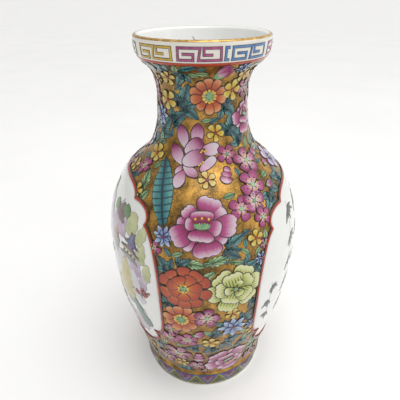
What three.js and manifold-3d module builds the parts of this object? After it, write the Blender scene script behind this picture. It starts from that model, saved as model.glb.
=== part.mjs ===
// Baluster vase of painted porcelain. Millimetres, +Z up; the origin is the centre of the rim it stands on.
// The pot is five turned sections luted end to end, and the decoration is thin coats fired on over them.
import * as THREE from "three";
import { mergeVertices } from "three/addons/utils/BufferGeometryUtils.js";
import Module from "manifold-3d";

const wasm = await Module();
wasm.setup();

// Heights, stacked from the resting rim upwards.
const footHeight = 17; // plain ring under the body
const bellyRise = 103; // foot to the widest place
const shoulderRise = 61; // widest place to the middle of the shoulder's fall
const neckRise = 38.5; // shoulder to the narrowest place
const collarRise = 14; // narrowest place to the steepest place of the flare
const mouthRise = 11.5; // flare to the foot of the upright lip
const lipRise = 5; // upright lip to the very top

// Outer radii at those places. The foot, the waist and the body's start follow the standing rim's radius,
// and the shoulder, collar and lip follow the neck's.
const footRadius = 46.5;
const footFullness = 1.4; // the foot's top beyond its rim
const grooveDepth = 0.9; // the groove between foot and body, in from the foot's top
const bodyStartStep = 1.4; // the body's start, out from the groove
const bellyRadius = 65;
const neckRadius = 27.2;
const shoulderSpread = 9.8; // beyond the neck
const collarSpread = 4.8; // beyond the neck
const mouthSpread = 7.3; // beyond the collar
const lipSpread = 0.2; // beyond the foot of the upright lip

const footTopRadius = footRadius + footFullness;
const waistRadius = footTopRadius - grooveDepth;
const bodyStartRadius = waistRadius + bodyStartStep;
const shoulderRadius = neckRadius + shoulderSpread;
const collarRadius = neckRadius + collarSpread;
const mouthRadius = collarRadius + mouthSpread;
const lipRadius = mouthRadius + lipSpread;

// Leans of the wall from upright, in degrees, outwards positive.
const bodyStartLean = 7.5;
const shoulderLean = -47;
const collarLean = 54;
const mouthLean = 7.5;

// Walls, floor and clearances.
const wall = 3.6;
const floorThickness = 7.5;
const footRecess = 13; // depth of the hollow under the floor
const footWall = 5.3;
const grooveRise = 1; // the foot stops short of its top, and the body starts above it, by this
const flareRise = 1.4; // height over which the wall leaves the groove on either side
const edgeSoftening = 1;
const seamGap = 0.3; // between two luted sections
const coatGap = 0.12; // between a coat and the wall under it
const coatThickness = 0.4;
const coatSpacing = 0.3; // between neighbouring coats

// Bands, as heights above or below the places they line up with.
const lappetMargin = 1.3; // bare porcelain below and above the band on the foot
const waistLineHeight = 1.6;
const mouthLineDrop = 5.4; // top of the red line, below the foot of the upright lip
const mouthLineWidth = 1.6;
const keyBandWidth = 7.3;
const gildingStart = 5; // degrees round the lip's edge, from its side towards its top
const gildingEnd = 60;

// Painted panels on the two sides, measured along the wall at the belly.
const panelHalfWidth = 69;
const panelTopDrop = 11; // below the middle of the shoulder's fall
const panelBottomRise = 28; // above the foot
const panelFrameWidth = 2;
const rightPanelDrop = 5; // the right panel was painted lower than the left one
const rightPanelTurn = -1.4; // degrees round from the side, towards the front
const topLobe = { half: 42.8, drop: 7.2 };
const shoulderLobe = { half: 57.5, drop: 18.4, bulge: 5 };
const footLobe = { half: 58.4, rise: 20.6, bulge: 4.2, corner: 13 };
const cornerLift = 2.6; // of the foot lobe's corner over the panel's lowest line

const segments = 36; // round the axis
const arcSteps = 6; // round the lip's half circle
const flareSteps = 3;
const gildingSteps = 2;
const outlineSteps = 5; // along each curve of a panel's outline
const degree = Math.PI / 180;

// ---- Curves of the wall ----

// A place on the wall: its radius and height, and the wall's direction there.
const place = (radius, height, lean) => ({
  point: new THREE.Vector2(radius, height),
  along: new THREE.Vector2(Math.sin(lean * degree), Math.cos(lean * degree)),
});

const bodyStart = footHeight + seamGap + grooveRise + flareRise;
const bellyHeight = footHeight + bellyRise;
const shoulderHeight = bellyHeight + shoulderRise;
const neckHeight = shoulderHeight + neckRise;
const collarHeight = neckHeight + collarRise;
const mouthHeight = collarHeight + mouthRise;
const topHeight = mouthHeight + lipRise;

const places = [
  place(bodyStartRadius, bodyStart, bodyStartLean),
  place(bellyRadius, bellyHeight, 0),
  place(shoulderRadius, shoulderHeight, shoulderLean),
  place(neckRadius, neckHeight, 0),
  place(collarRadius, collarHeight, collarLean),
  place(mouthRadius, mouthHeight, mouthLean),
];

// How far each stretch keeps its starting and its final direction, as shares of the stretch, and its steps.
const stretches = [
  { leave: 0.27, arrive: 0.54, steps: 6 },
  { leave: 0.64, arrive: 0.14, steps: 7 },
  { leave: 0.34, arrive: 0.29, steps: 4 },
  { leave: 0.56, arrive: 0.06, steps: flareSteps },
  { leave: 0.64, arrive: 0.39, steps: flareSteps },
];

// One smooth stretch of wall between two places.
function stretchPoints(from, to, { leave, arrive, steps }) {
  const reach = from.point.distanceTo(to.point);
  const curve = new THREE.CubicBezierCurve(
    from.point,
    from.point.clone().addScaledVector(from.along, leave * reach),
    to.point.clone().addScaledVector(to.along, -arrive * reach),
    to.point,
  );
  return curve.getPoints(steps);
}

// The outer wall from the body's start to the lip, with each height once.
function outerWall() {
  const points = [places[0].point.clone()];
  stretches.forEach((stretch, i) => {
    points.push(...stretchPoints(places[i], places[i + 1], stretch).slice(1));
  });
  points.push(new THREE.Vector2(lipRadius, topHeight - wall / 2));
  return points;
}

// The same line moved off by a distance at right angles, outwards positive.
function offsetLine(points, distance) {
  return points.map((point, i) => {
    const before = points[Math.max(i - 1, 0)];
    const after = points[Math.min(i + 1, points.length - 1)];
    const along = after.clone().sub(before).normalize();
    return new THREE.Vector2(point.x + along.y * distance, point.y - along.x * distance);
  });
}

// The point of a rising line at a height.
function pointAt(line, height) {
  const i = Math.max(1, line.findIndex((point) => point.y >= height));
  const [low, high] = [line[i - 1], line[i]];
  return low.clone().lerp(high, (height - low.y) / (high.y - low.y));
}

// The piece of a rising line between two heights.
function between(line, low, high) {
  const closest = 0.05; // a point nearer than this to a cut is left out
  const inside = line.filter(({ y }) => y > low + closest && y < high - closest);
  return [pointAt(line, low), ...inside, pointAt(line, high)];
}

const outer = outerWall();
const inner = offsetLine(outer, -wall);

// ---- Solids ----

function signedVolume(geometry) {
  const position = geometry.getAttribute("position");
  const index = geometry.getIndex();
  const corner = [new THREE.Vector3(), new THREE.Vector3(), new THREE.Vector3()];
  let six = 0;
  for (let i = 0; i < index.count; i += 3) {
    corner.forEach((v, k) => v.fromBufferAttribute(position, index.getX(i + k)));
    six += corner[0].dot(corner[1].cross(corner[2]));
  }
  return six / 6;
}

// Leaves only positions, joins equal ones and turns the faces outwards.
function closedGeometry(geometry) {
  geometry.deleteAttribute("normal");
  geometry.deleteAttribute("uv");
  const merged = mergeVertices(geometry, 1e-4);
  const index = merged.getIndex();
  const kept = [];
  for (let i = 0; i < index.count; i += 3) {
    const [a, b, c] = [index.getX(i), index.getX(i + 1), index.getX(i + 2)];
    if (a !== b && b !== c && c !== a) kept.push(a, b, c);
  }
  merged.setIndex(kept);
  if (signedVolume(merged) < 0) {
    for (let i = 0; i < kept.length; i += 3) [kept[i], kept[i + 1]] = [kept[i + 1], kept[i]];
    merged.setIndex(kept);
  }
  return merged;
}

// A section turned round the axis; angle 0 faces -Y and grows towards +X.
function turned(profile) {
  const geometry = new THREE.LatheGeometry(profile, segments);
  geometry.rotateX(Math.PI / 2);
  return closedGeometry(geometry);
}

// A ring of a cross-section that closes on itself.
const turnedRing = (profile) => turned([...profile, profile[0].clone()]);

function toSolid(geometry) {
  const vertProperties = new Float32Array(geometry.getAttribute("position").array);
  const triVerts = new Uint32Array(geometry.getIndex().array);
  return new wasm.Manifold(new wasm.Mesh({ numProp: 3, vertProperties, triVerts }));
}

function toGeometry(solid) {
  const mesh = solid.getMesh();
  const geometry = new THREE.BufferGeometry();
  geometry.setAttribute("position", new THREE.BufferAttribute(new Float32Array(mesh.vertProperties), 3));
  geometry.setIndex(new THREE.BufferAttribute(new Uint32Array(mesh.triVerts), 1));
  return geometry;
}

// ---- The five sections of the pot ----

// A plain ring of wall between two heights.
function wallSection(low, high) {
  return turnedRing([...between(outer, low, high), ...between(inner, low, high).reverse()]);
}

function footRing() {
  const inside = footRadius - footWall;
  const outside = footOutside();
  return turnedRing([
    new THREE.Vector2(inside + edgeSoftening, 0),
    new THREE.Vector2(footRadius - edgeSoftening, 0),
    ...outside,
    new THREE.Vector2(waistRadius, footHeight - grooveRise),
    new THREE.Vector2(waistRadius, footHeight),
    new THREE.Vector2(inside, footHeight),
    new THREE.Vector2(inside, edgeSoftening),
  ]);
}

// The foot's slightly full side, from above its softened edge to below the groove.
function footOutside() {
  const low = new THREE.Vector2(footRadius, edgeSoftening);
  const high = new THREE.Vector2(footTopRadius, footHeight - grooveRise - flareRise / 2);
  const full = new THREE.Vector2(footTopRadius, (low.y + high.y) / 2);
  return new THREE.QuadraticBezierCurve(low, full, high).getPoints(3);
}

// The bowl: its floor drops into the foot ring as a spigot, and its wall stands on the ring.
function lowerBody() {
  const seat = footHeight + seamGap;
  const spigotRadius = footRadius - footWall - seamGap;
  const floorTop = footRecess + floorThickness;
  const top = bellyHeight - seamGap / 2;
  const innerWall = between(inner, floorTop + wall, top).reverse();
  return turned([
    new THREE.Vector2(0, footRecess),
    new THREE.Vector2(spigotRadius, footRecess),
    new THREE.Vector2(spigotRadius, seat),
    new THREE.Vector2(waistRadius, seat),
    new THREE.Vector2(waistRadius, seat + grooveRise),
    ...between(outer, bodyStart, top),
    ...innerWall,
    new THREE.Vector2(innerWall.at(-1).x - wall, floorTop),
    new THREE.Vector2(0, floorTop),
  ]);
}

const lipCentre = new THREE.Vector2(lipRadius - wall / 2, topHeight - wall / 2);

// A point beside the lip's round edge, at an angle up from its outer side.
function besideLip(angle, clearance) {
  const radius = wall / 2 + clearance;
  const turn = angle * degree;
  return new THREE.Vector2(lipCentre.x + radius * Math.cos(turn), lipCentre.y + radius * Math.sin(turn));
}

function mouth() {
  const low = collarHeight + seamGap / 2;
  const rounds = Array.from({ length: arcSteps + 1 }, (_, i) => besideLip((180 * i) / arcSteps, 0));
  const outside = between(outer, low, mouthHeight);
  const inside = between(inner, low, mouthHeight).reverse();
  return turnedRing([...outside, ...rounds, ...inside]);
}

// ---- Coats over the wall ----

const coatUnder = offsetLine(outer, coatGap);
const coatOver = offsetLine(outer, coatGap + coatThickness);

// A coat round the whole wall between two heights.
function coatRing(low, high) {
  return turnedRing([...between(coatOver, low, high), ...between(coatUnder, low, high).reverse()]);
}

function lipGilding() {
  const angles = Array.from({ length: gildingSteps + 1 }, (_, i) =>
    THREE.MathUtils.lerp(gildingStart, gildingEnd, i / gildingSteps),
  );
  const over = angles.map((angle) => besideLip(angle, coatGap + coatThickness));
  const under = angles.map((angle) => besideLip(angle, coatGap)).reverse();
  return turnedRing([...over, ...under]);
}

function waistLine() {
  const middle = footHeight + seamGap / 2;
  const inside = waistRadius + coatGap;
  const outside = inside + coatThickness;
  const half = waistLineHeight / 2;
  return turnedRing([
    new THREE.Vector2(inside, middle - half),
    new THREE.Vector2(outside, middle - half),
    new THREE.Vector2(outside, middle + half),
    new THREE.Vector2(inside, middle + half),
  ]);
}

function lappetBand() {
  const side = footOutside();
  const low = lappetMargin;
  const high = footHeight - grooveRise - lappetMargin;
  const over = between(offsetLine(side, coatGap + coatThickness), low, high);
  const under = between(offsetLine(side, coatGap), low, high).reverse();
  return turnedRing([...over, ...under]);
}

// ---- Panels ----

const panelTop = shoulderHeight - panelTopDrop;
const panelBottom = footHeight + panelBottomRise;
const panelMiddle = (panelTop + panelBottom) / 2;

// One half of a panel's lobed outline, from its top to its bottom, as arc length along the belly and height.
// The edge, the lobes and the cusps between them all move outwards by the distance given.
function panelHalfOutline(distance) {
  const path = new THREE.Path();
  const width = panelHalfWidth + distance;
  const top = panelTop + distance;
  const bottom = panelBottom - distance;
  const topCusp = [topLobe.half + distance, top - topLobe.drop];
  const sideCusp = [shoulderLobe.half + distance, top - shoulderLobe.drop];
  const footCusp = [footLobe.half + distance, bottom + footLobe.rise];
  const footCorner = [footCusp[0] - footLobe.corner, bottom + cornerLift];
  const sideReach = (sideCusp[1] - footCusp[1]) / 2;
  path.moveTo(0, top);
  path.bezierCurveTo(topCusp[0] * 0.6, top, topCusp[0] * 0.95, top - 1, ...topCusp);
  path.bezierCurveTo(
    topCusp[0] + 10, topCusp[1] + 0.7,
    sideCusp[0] + shoulderLobe.bulge, sideCusp[1] + 6.5,
    ...sideCusp,
  );
  path.bezierCurveTo(
    width - 2.5, sideCusp[1] - 5,
    width, sideCusp[1] - sideReach * 0.6,
    width, panelMiddle,
  );
  path.bezierCurveTo(
    width, footCusp[1] + sideReach * 0.25,
    width - 2.5, footCusp[1] - 3,
    ...footCusp,
  );
  path.bezierCurveTo(
    footCusp[0] + footLobe.bulge, footCusp[1] - 6,
    footCusp[0] - 1.5, bottom + 4.5,
    ...footCorner,
  );
  path.bezierCurveTo(footCusp[0] * 0.52, bottom + 0.8, footCusp[0] * 0.26, bottom, 0, bottom);
  return path.getPoints(outlineSteps);
}

// The whole outline, moved outwards by a distance.
function panelOutline(distance) {
  const half = panelHalfOutline(distance);
  const mirrored = half.slice(1, -1).reverse().map(({ x, y }) => new THREE.Vector2(-x, y));
  return [...half, ...mirrored];
}

// A radial plug with a panel's outline, thick enough to pass right through the coats. Its rings of points
// run from the middle to the edge, so that its round faces follow the wall.
function panelPlug({ facing, drop }, distance) {
  const outline = panelOutline(distance);
  const rings = 9;
  const depths = [neckRadius - wall, bellyRadius + wall * 2];
  const middle = new THREE.Vector2(0, panelMiddle);
  const positions = [];
  const wrap = (point, radius) => {
    const angle = (facing + point.x / bellyRadius / degree) * degree;
    positions.push(radius * Math.sin(angle), -radius * Math.cos(angle), point.y - drop);
  };
  for (const radius of depths) {
    wrap(middle, radius);
    for (let ring = 1; ring <= rings; ring++) {
      outline.forEach((point) => wrap(middle.clone().lerp(point, ring / rings), radius));
    }
  }
  const count = outline.length;
  const layer = 1 + rings * count;
  const at = (side, ring, i) => side * layer + 1 + (ring - 1) * count + (i % count);
  const faces = [];
  for (let i = 0; i < count; i++) {
    faces.push(0, at(0, 1, i), at(0, 1, i + 1), layer, at(1, 1, i + 1), at(1, 1, i));
    for (let ring = 1; ring < rings; ring++) {
      const [a, b, c, d] = [at(0, ring, i), at(0, ring, i + 1), at(0, ring + 1, i), at(0, ring + 1, i + 1)];
      faces.push(a, c, b, b, c, d, a + layer, b + layer, c + layer, b + layer, d + layer, c + layer);
    }
    const [a, b] = [at(0, rings, i), at(0, rings, i + 1)];
    faces.push(a, a + layer, b, b, a + layer, b + layer);
  }
  const geometry = new THREE.BufferGeometry();
  geometry.setAttribute("position", new THREE.BufferAttribute(new Float32Array(positions), 3));
  geometry.setIndex(faces);
  return toSolid(closedGeometry(geometry));
}

const mouthLineTop = mouthHeight - mouthLineDrop;
const mouthLineLow = mouthLineTop - mouthLineWidth;
const groundLow = bodyStart;
const groundHigh = mouthLineLow - coatSpacing;
const wholeCoat = toSolid(coatRing(groundLow, groundHigh));
const panelPlaces = {
  right: { facing: 90 + rightPanelTurn, drop: rightPanelDrop },
  left: { facing: -90, drop: 0 },
};
const frameHalf = panelFrameWidth / 2;

const paintedPanel = (where) => toGeometry(wholeCoat.intersect(panelPlug(where, -frameHalf - coatSpacing)));

const panelFrame = (where) => {
  const rim = panelPlug(where, frameHalf).subtract(panelPlug(where, -frameHalf));
  return toGeometry(wholeCoat.intersect(rim));
};

function giltGround() {
  let ground = wholeCoat;
  for (const where of Object.values(panelPlaces)) {
    ground = ground.subtract(panelPlug(where, frameHalf + coatSpacing));
  }
  return toGeometry(ground);
}

// ---- Finishes and assembly ----

const finish = (color, roughness, metalness) => new THREE.MeshStandardMaterial({ color, roughness, metalness });
const porcelain = () => finish(0xf1f0ec, 0.12, 0);
const biscuit = () => finish(0xe9e2d4, 0.55, 0);
const gilding = () => finish(0xc99a3f, 0.28, 0.9);
const groundGold = () => finish(0x9a7430, 0.36, 0.8);
const ironRed = () => finish(0xa84422, 0.3, 0);

const vase = new THREE.Group();

function addPiece(name, geometry, material) {
  const mesh = new THREE.Mesh(geometry, material);
  mesh.name = name;
  vase.add(mesh);
}

addPiece("foot_ring", footRing(), biscuit());
addPiece("lower_body", lowerBody(), porcelain());
addPiece("upper_body", wallSection(bellyHeight + seamGap / 2, shoulderHeight - seamGap / 2), porcelain());
addPiece("neck", wallSection(shoulderHeight + seamGap / 2, collarHeight - seamGap / 2), porcelain());
addPiece("mouth", mouth(), porcelain());

addPiece("lip_gilding", lipGilding(), gilding());
const keyBandLow = mouthLineTop + coatSpacing;
addPiece("key_fret_band", coatRing(keyBandLow, keyBandLow + keyBandWidth), finish(0x9c5f93, 0.18, 0));
addPiece("mouth_line", coatRing(mouthLineLow, mouthLineTop), ironRed());
addPiece("gilt_ground", giltGround(), groundGold());
for (const [side, where] of Object.entries(panelPlaces)) {
  addPiece(`${side}_panel_frame`, panelFrame(where), ironRed());
  addPiece(`${side}_painted_panel`, paintedPanel(where), porcelain());
}
addPiece("waist_line", waistLine(), gilding());
addPiece("lappet_band", lappetBand(), finish(0x6b7f3a, 0.2, 0));

export default vase;
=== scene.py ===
# %% [markdown]
# # A painted porcelain vase
# The real object is a baluster vase of white porcelain. It was turned in sections, joined with slip and
# fired, and then a decorator covered it with a gold ground and thick coloured enamels. This script builds
# its looks around a fixed frame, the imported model, whose nodes give every size and place. Lengths are in
# metres.

# %% Load the frame
import math
import random

import bpy
import numpy as np
from mathutils import Matrix, Vector


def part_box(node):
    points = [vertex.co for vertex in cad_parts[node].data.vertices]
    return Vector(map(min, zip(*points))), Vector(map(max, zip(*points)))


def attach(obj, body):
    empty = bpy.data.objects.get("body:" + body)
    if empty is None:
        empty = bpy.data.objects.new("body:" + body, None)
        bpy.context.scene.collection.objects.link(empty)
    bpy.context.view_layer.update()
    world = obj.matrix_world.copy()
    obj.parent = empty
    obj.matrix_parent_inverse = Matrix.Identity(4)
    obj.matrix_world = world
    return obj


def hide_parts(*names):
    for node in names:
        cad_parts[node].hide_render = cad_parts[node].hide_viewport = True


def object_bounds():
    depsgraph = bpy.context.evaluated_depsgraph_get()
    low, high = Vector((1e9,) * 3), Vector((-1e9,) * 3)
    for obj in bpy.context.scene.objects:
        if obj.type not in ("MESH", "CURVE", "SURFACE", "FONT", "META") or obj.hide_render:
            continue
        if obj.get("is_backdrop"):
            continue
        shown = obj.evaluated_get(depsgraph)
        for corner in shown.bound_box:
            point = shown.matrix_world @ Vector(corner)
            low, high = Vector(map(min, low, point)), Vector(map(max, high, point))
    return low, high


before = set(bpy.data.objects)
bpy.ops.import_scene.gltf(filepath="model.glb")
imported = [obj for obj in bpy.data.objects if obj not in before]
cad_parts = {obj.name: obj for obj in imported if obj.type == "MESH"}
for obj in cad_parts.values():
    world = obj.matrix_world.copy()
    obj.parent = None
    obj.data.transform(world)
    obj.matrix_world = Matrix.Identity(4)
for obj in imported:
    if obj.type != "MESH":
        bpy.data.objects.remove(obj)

MM = 0.001
cad_low, cad_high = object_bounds()
print("frame box in mm:", [round(v / MM, 1) for v in (*cad_low, *cad_high)])

# %% [markdown]
# ## The wall's line
# Everything on a turned pot follows one line, the outer side of its wall. The line is five smooth curves
# that meet at six places: where the body starts, the belly, the shoulder, the neck, the collar and the lip.
# A cubic curve between two places needs only the wall's lean at each and how far it keeps that lean, so
# these few numbers and the frame's own sizes give the whole outline.

# %% Measure the frame
foot_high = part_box("foot_ring")[1]
body_low, body_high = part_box("lower_body")
shoulder_low, shoulder_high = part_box("upper_body")
neck_low, neck_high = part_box("neck")
mouth_low, mouth_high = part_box("mouth")

foot_top = foot_high.z
foot_radius = foot_high.x
belly_radius = body_high.x
belly_height = (body_high.z + shoulder_low.z) / 2
shoulder_height = (shoulder_high.z + neck_low.z) / 2
shoulder_radius = neck_high.x
collar_height = (neck_high.z + mouth_low.z) / 2
lip_radius = mouth_high.x
lip_top = mouth_high.z
print("belly", round(belly_radius / MM, 1), "at", round(belly_height / MM, 1), "lip top",
      round(lip_top / MM, 1))

# %% Draw the wall's line
WALL = 3.6 * MM
NECK_RADIUS = 27.2 * MM
NECK_HEIGHT = collar_height - 14 * MM
COLLAR_RADIUS = NECK_RADIUS + 4.8 * MM
GROOVE_RADIUS = foot_radius - 0.9 * MM
BODY_START = foot_top + 2.7 * MM
MOUTH_HEIGHT = lip_top - 5 * MM


def lean(degrees):
    """The wall's direction where it leans out from upright by this much."""
    return np.array([math.sin(math.radians(degrees)), math.cos(math.radians(degrees))])


PLACES = [  # radius, height, direction
    (np.array([GROOVE_RADIUS + 1.4 * MM, BODY_START]), lean(7.5)),
    (np.array([belly_radius, belly_height]), lean(0)),
    (np.array([shoulder_radius, shoulder_height]), lean(-47)),
    (np.array([NECK_RADIUS, NECK_HEIGHT]), lean(0)),
    (np.array([COLLAR_RADIUS, collar_height]), lean(54)),
    (np.array([lip_radius - 0.2 * MM, MOUTH_HEIGHT]), lean(7.5)),
]
KEPT = [(0.27, 0.54), (0.64, 0.14), (0.34, 0.29), (0.56, 0.06), (0.64, 0.39)]


def curve_points(start, end, leave, arrive, steps=40):
    """Points of the smooth stretch between two places, without its last."""
    (p0, d0), (p3, d3) = start, end
    reach = np.linalg.norm(p3 - p0)
    p1, p2 = p0 + d0 * leave * reach, p3 - d3 * arrive * reach
    t = np.linspace(0, 1, steps, endpoint=False)[:, None]
    return (1 - t) ** 3 * p0 + 3 * t * (1 - t) ** 2 * p1 + 3 * t**2 * (1 - t) * p2 + t**3 * p3


stretches = [curve_points(a, b, *kept) for a, b, kept in zip(PLACES, PLACES[1:], KEPT)]
lip_side = np.array([[lip_radius - 0.2 * MM, MOUTH_HEIGHT], [lip_radius, lip_top - WALL / 2]])
body_line = np.vstack([*stretches, lip_side])
print("points on the body's line:", len(body_line))

# %% [markdown]
# ## Laying things on the wall
# Flowers and borders are thought of flat, as a decorator draws them, and then laid on the wall. A flat
# point is so far to the right and so far up from its motif's middle. Up is measured along the wall's line,
# and right along the circle at that height, so a shape keeps its size and its right angles wherever it
# lies. A third number is the lift of the enamel above the glaze, straight out from the wall.

# %% A surface that can be drawn on


class TurnedSurface:
    """The outside of a turned line, with places given by angle and height."""

    def __init__(self, line):
        steps = np.linalg.norm(np.diff(line, axis=0), axis=1)
        self.way = np.concatenate([[0], np.cumsum(steps)])
        self.line = line
        along = np.gradient(line, self.way, axis=0)
        along /= np.linalg.norm(along, axis=1)[:, None]
        self.out = np.column_stack([along[:, 1], -along[:, 0]])

    def way_at(self, height):
        return np.interp(height, self.line[:, 1], self.way)

    def spots(self, flat, angle, height):
        """Flat (right, up) points about a place become ways along the line and turns in radians."""
        way = np.clip(self.way_at(height) + flat[:, 1], 0, self.way[-1])
        return way, math.radians(angle) + flat[:, 0] / np.interp(way, self.way, self.line[:, 0])

    def raised(self, way, turn, lift):
        """Places in space, lifted straight out from the wall. Angle 0 faces -Y, +90 faces +X."""
        radius, z = (np.interp(way, self.way, self.line[:, k]) for k in (0, 1))
        out_r, out_z = (np.interp(way, self.way, self.out[:, k]) for k in (0, 1))
        r = radius + out_r * lift
        return np.column_stack([r * np.sin(turn), -r * np.cos(turn), z + out_z * lift])


body = TurnedSurface(body_line)


def foot_line():
    """The foot's slightly full side."""
    t = np.linspace(0, 1, 12)[:, None]
    low = np.array([foot_radius - 1.4 * MM, 1 * MM])
    high = np.array([foot_radius, foot_top - 1.7 * MM])
    full = np.array([foot_radius, (low[1] + high[1]) / 2])
    return (1 - t) ** 2 * low + 2 * t * (1 - t) * full + t**2 * high


foot = TurnedSurface(foot_line())
print("the wall's line is", round(body.way[-1] / MM), "mm long")

# %% [markdown]
# ## Shader maths as plain expressions
# A material is a small program made of nodes. Writing `mask * 0.5 + 0.2` is easier to read than placing two
# Math nodes, so one class wraps a socket and turns each operator into its node. Its `node` method makes any
# other node. Settings such as an operation or a ramp's stops are set first, then the inputs are given.

# %% A socket that does maths


class Socket:
    """One output of a node tree, on which + - * / and ** add Math nodes."""

    def __init__(self, tree, output=None):
        self.tree = tree
        self.output = output

    def node(self, kind, settings=None, out=0, **inputs):
        made = self.tree.nodes.new(kind)
        for name, value in (settings or {}).items():
            if name == "stops":
                ramp = made.color_ramp
                while len(ramp.elements) < len(value):
                    ramp.elements.new(0.5)
                for element, (place, colour) in zip(ramp.elements, value):
                    element.position = place
                    element.color = (*colour, 1)
            else:
                setattr(made, name, value)
        for name, value in inputs.items():
            key = int(name[1:]) if name[0] == "i" and name[1:].isdigit() else name.replace("_", " ")
            self.feed(made.inputs[key], value)
        return Socket(self.tree, made.outputs[out])

    def feed(self, target, value):
        if isinstance(value, Socket):
            self.tree.links.new(value.output, target)
        elif isinstance(value, (tuple, list)) and len(value) == 3 and target.type == "RGBA":
            target.default_value = (*value, 1)
        else:
            target.default_value = value

    def maths(self, operation, a, b=0.0, clamp=False):
        return self.node("ShaderNodeMath", {"operation": operation, "use_clamp": clamp}, i0=a, i1=b)

    def __add__(self, other):
        return self.maths("ADD", self, other)

    def __sub__(self, other):
        return self.maths("SUBTRACT", self, other)

    def __rsub__(self, other):
        return self.maths("SUBTRACT", other, self)

    def __mul__(self, other):
        return self.maths("MULTIPLY", self, other)

    def __truediv__(self, other):
        return self.maths("DIVIDE", self, other)

    def __pow__(self, other):
        return self.maths("POWER", self, other)

    __radd__ = __add__
    __rmul__ = __mul__

    def clamped(self):
        return self.maths("ADD", self, 0.0, clamp=True)

    def steps_up(self, low, high):
        """0 below low, 1 above high, smooth between."""
        return self.node("ShaderNodeMapRange", {"interpolation_type": "SMOOTHSTEP"}, Value=self,
                         From_Min=low, From_Max=high)

    def ramp(self, stops):
        return self.node("ShaderNodeValToRGB", {"stops": stops}, Fac=self)

    def mix(self, first, second):
        """first where this is 0, second where it is 1. Both are colours."""
        return self.node("ShaderNodeMix", {"data_type": "RGBA"}, out=2, i0=self, i6=first, i7=second)

    def noise(self, scale, detail=3.0, rough=0.5, where=None, stretch=None):
        """Soft random clouds over the object's own coordinates, or over those given."""
        place = where or self.object_place()
        if stretch:
            place = self.node("ShaderNodeMapping", Vector=place, Scale=stretch)
        return self.node("ShaderNodeTexNoise", Vector=place, Scale=scale, Detail=detail, Roughness=rough)

    def object_place(self):
        return self.node("ShaderNodeTexCoord", out=3)


def finish_of(name, paint, coat=0.0, coat_roughness=0.03, ior=1.5):
    """A new material. paint(shader, inputs) fills the main shader's sockets."""
    material = bpy.data.materials.new(name)
    material.use_nodes = True
    tree = material.node_tree
    main = tree.nodes["Principled BSDF"]
    main.inputs["Coat Weight"].default_value = coat
    main.inputs["Coat Roughness"].default_value = coat_roughness
    main.inputs["IOR"].default_value = ior
    start = Socket(tree)
    for socket, value in paint(start).items():
        start.feed(main.inputs[socket], value)
    return material


def bumped(shader, height, strength, distance):
    return shader.node("ShaderNodeBump", Height=height, Strength=strength, Distance=distance)


print("socket maths ready")

# %% [markdown]
# ## Glazes and gold
# The white glaze is clear glass over white clay: nearly white, very smooth, with the faint waviness and the
# few grey specks of a kitchen-grade firing. The gold ground is brushed on, so it is a mix of bright and
# brown patches with fine speckle, and its roughness changes with them.

# %% White glaze


def white_glaze_paint(shader):
    cloud = shader.noise(26, 2)
    specks = shader.noise(900, 1, 0.4).steps_up(0.76, 0.8)
    clean = cloud.ramp([(0.3, (0.85, 0.86, 0.84)), (0.7, (0.90, 0.905, 0.88))])
    wave = shader.noise(60, 2)
    return {
        "Base Color": (specks * 0.25).mix(clean, (0.45, 0.43, 0.38)),
        "Roughness": wave * 0.06 + 0.07,
        "Normal": bumped(shader, wave, 0.12, 0.4 * MM),
    }


white_glaze = finish_of("white_glaze", white_glaze_paint, coat=0.6, coat_roughness=0.02)


# Painted shade: a darker, warmer copy of the white glaze for the mouth's outer side, standing in for the
# shade on that face. Its cloud noise gives an uneven tone.
def cream_shaded_glaze_paint(shader):
    parts = white_glaze_paint(shader)
    stain_and_shade = shader.noise(40, 2)
    parts["Base Color"] = stain_and_shade.ramp([(0.3, (0.60, 0.57, 0.50)), (0.7, (0.72, 0.69, 0.62))])
    return parts


cream_shaded_glaze = finish_of("cream_shaded_glaze", cream_shaded_glaze_paint, coat=0.6, coat_roughness=0.02)

# %% Bare clay of the standing rim


def bare_clay_paint(shader):
    grain = shader.noise(1500, 4, 0.6)
    stain_and_shade = shader.noise(70, 3)
    return {
        "Base Color": (stain_and_shade * 0.7 + grain * 0.3).ramp([(0.35, (0.50, 0.43, 0.34)),
                                                        (0.65, (0.74, 0.69, 0.61))]),
        "Roughness": grain * 0.2 + 0.6,
        "Normal": bumped(shader, grain, 0.5, 0.1 * MM),
    }


bare_clay = finish_of("bare_clay", bare_clay_paint)

# %% Gold ground and burnished gold


def gold_ground_paint(shader):
    brush = shader.noise(120, 4, 0.6, stretch=(1, 1, 0.6))
    speckle = shader.noise(1400, 3, 0.6)
    curls = shader.noise(260, 2, 0.5)
    scroll = (curls - 0.5).maths("ABSOLUTE", curls - 0.5).steps_up(0.0, 0.018)
    tone = (brush * 0.65 + speckle * 0.35).ramp(
        [(0.39, (0.085, 0.050, 0.015)), (0.5, (0.30, 0.165, 0.036)), (0.64, (0.64, 0.35, 0.080))]
    )
    return {
        "Base Color": (scroll * 0.55 + 0.45).mix((0.045, 0.030, 0.015), tone),
        "Metallic": (1.15 - speckle * 0.5).clamped(),
        "Roughness": (brush * 0.25 + speckle * 0.3 + 0.06).clamped(),
        "Normal": bumped(shader, speckle, 0.35, 0.05 * MM),
    }


gold_ground = finish_of("gold_ground", gold_ground_paint, coat=0.2, coat_roughness=0.08)


def burnished_gold_paint(shader):
    wear = shader.noise(300, 4, 0.6)
    return {
        "Base Color": wear.ramp([(0.3, (0.30, 0.18, 0.06)), (0.55, (0.60, 0.38, 0.13)),
                                 (0.8, (0.78, 0.56, 0.26))]),
        "Metallic": (1.2 - wear * 0.4).clamped(),
        "Roughness": wear * 0.25 + 0.12,
        "Normal": bumped(shader, wear, 0.15, 0.05 * MM),
    }


burnished_gold = finish_of("burnished_gold", burnished_gold_paint)

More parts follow.
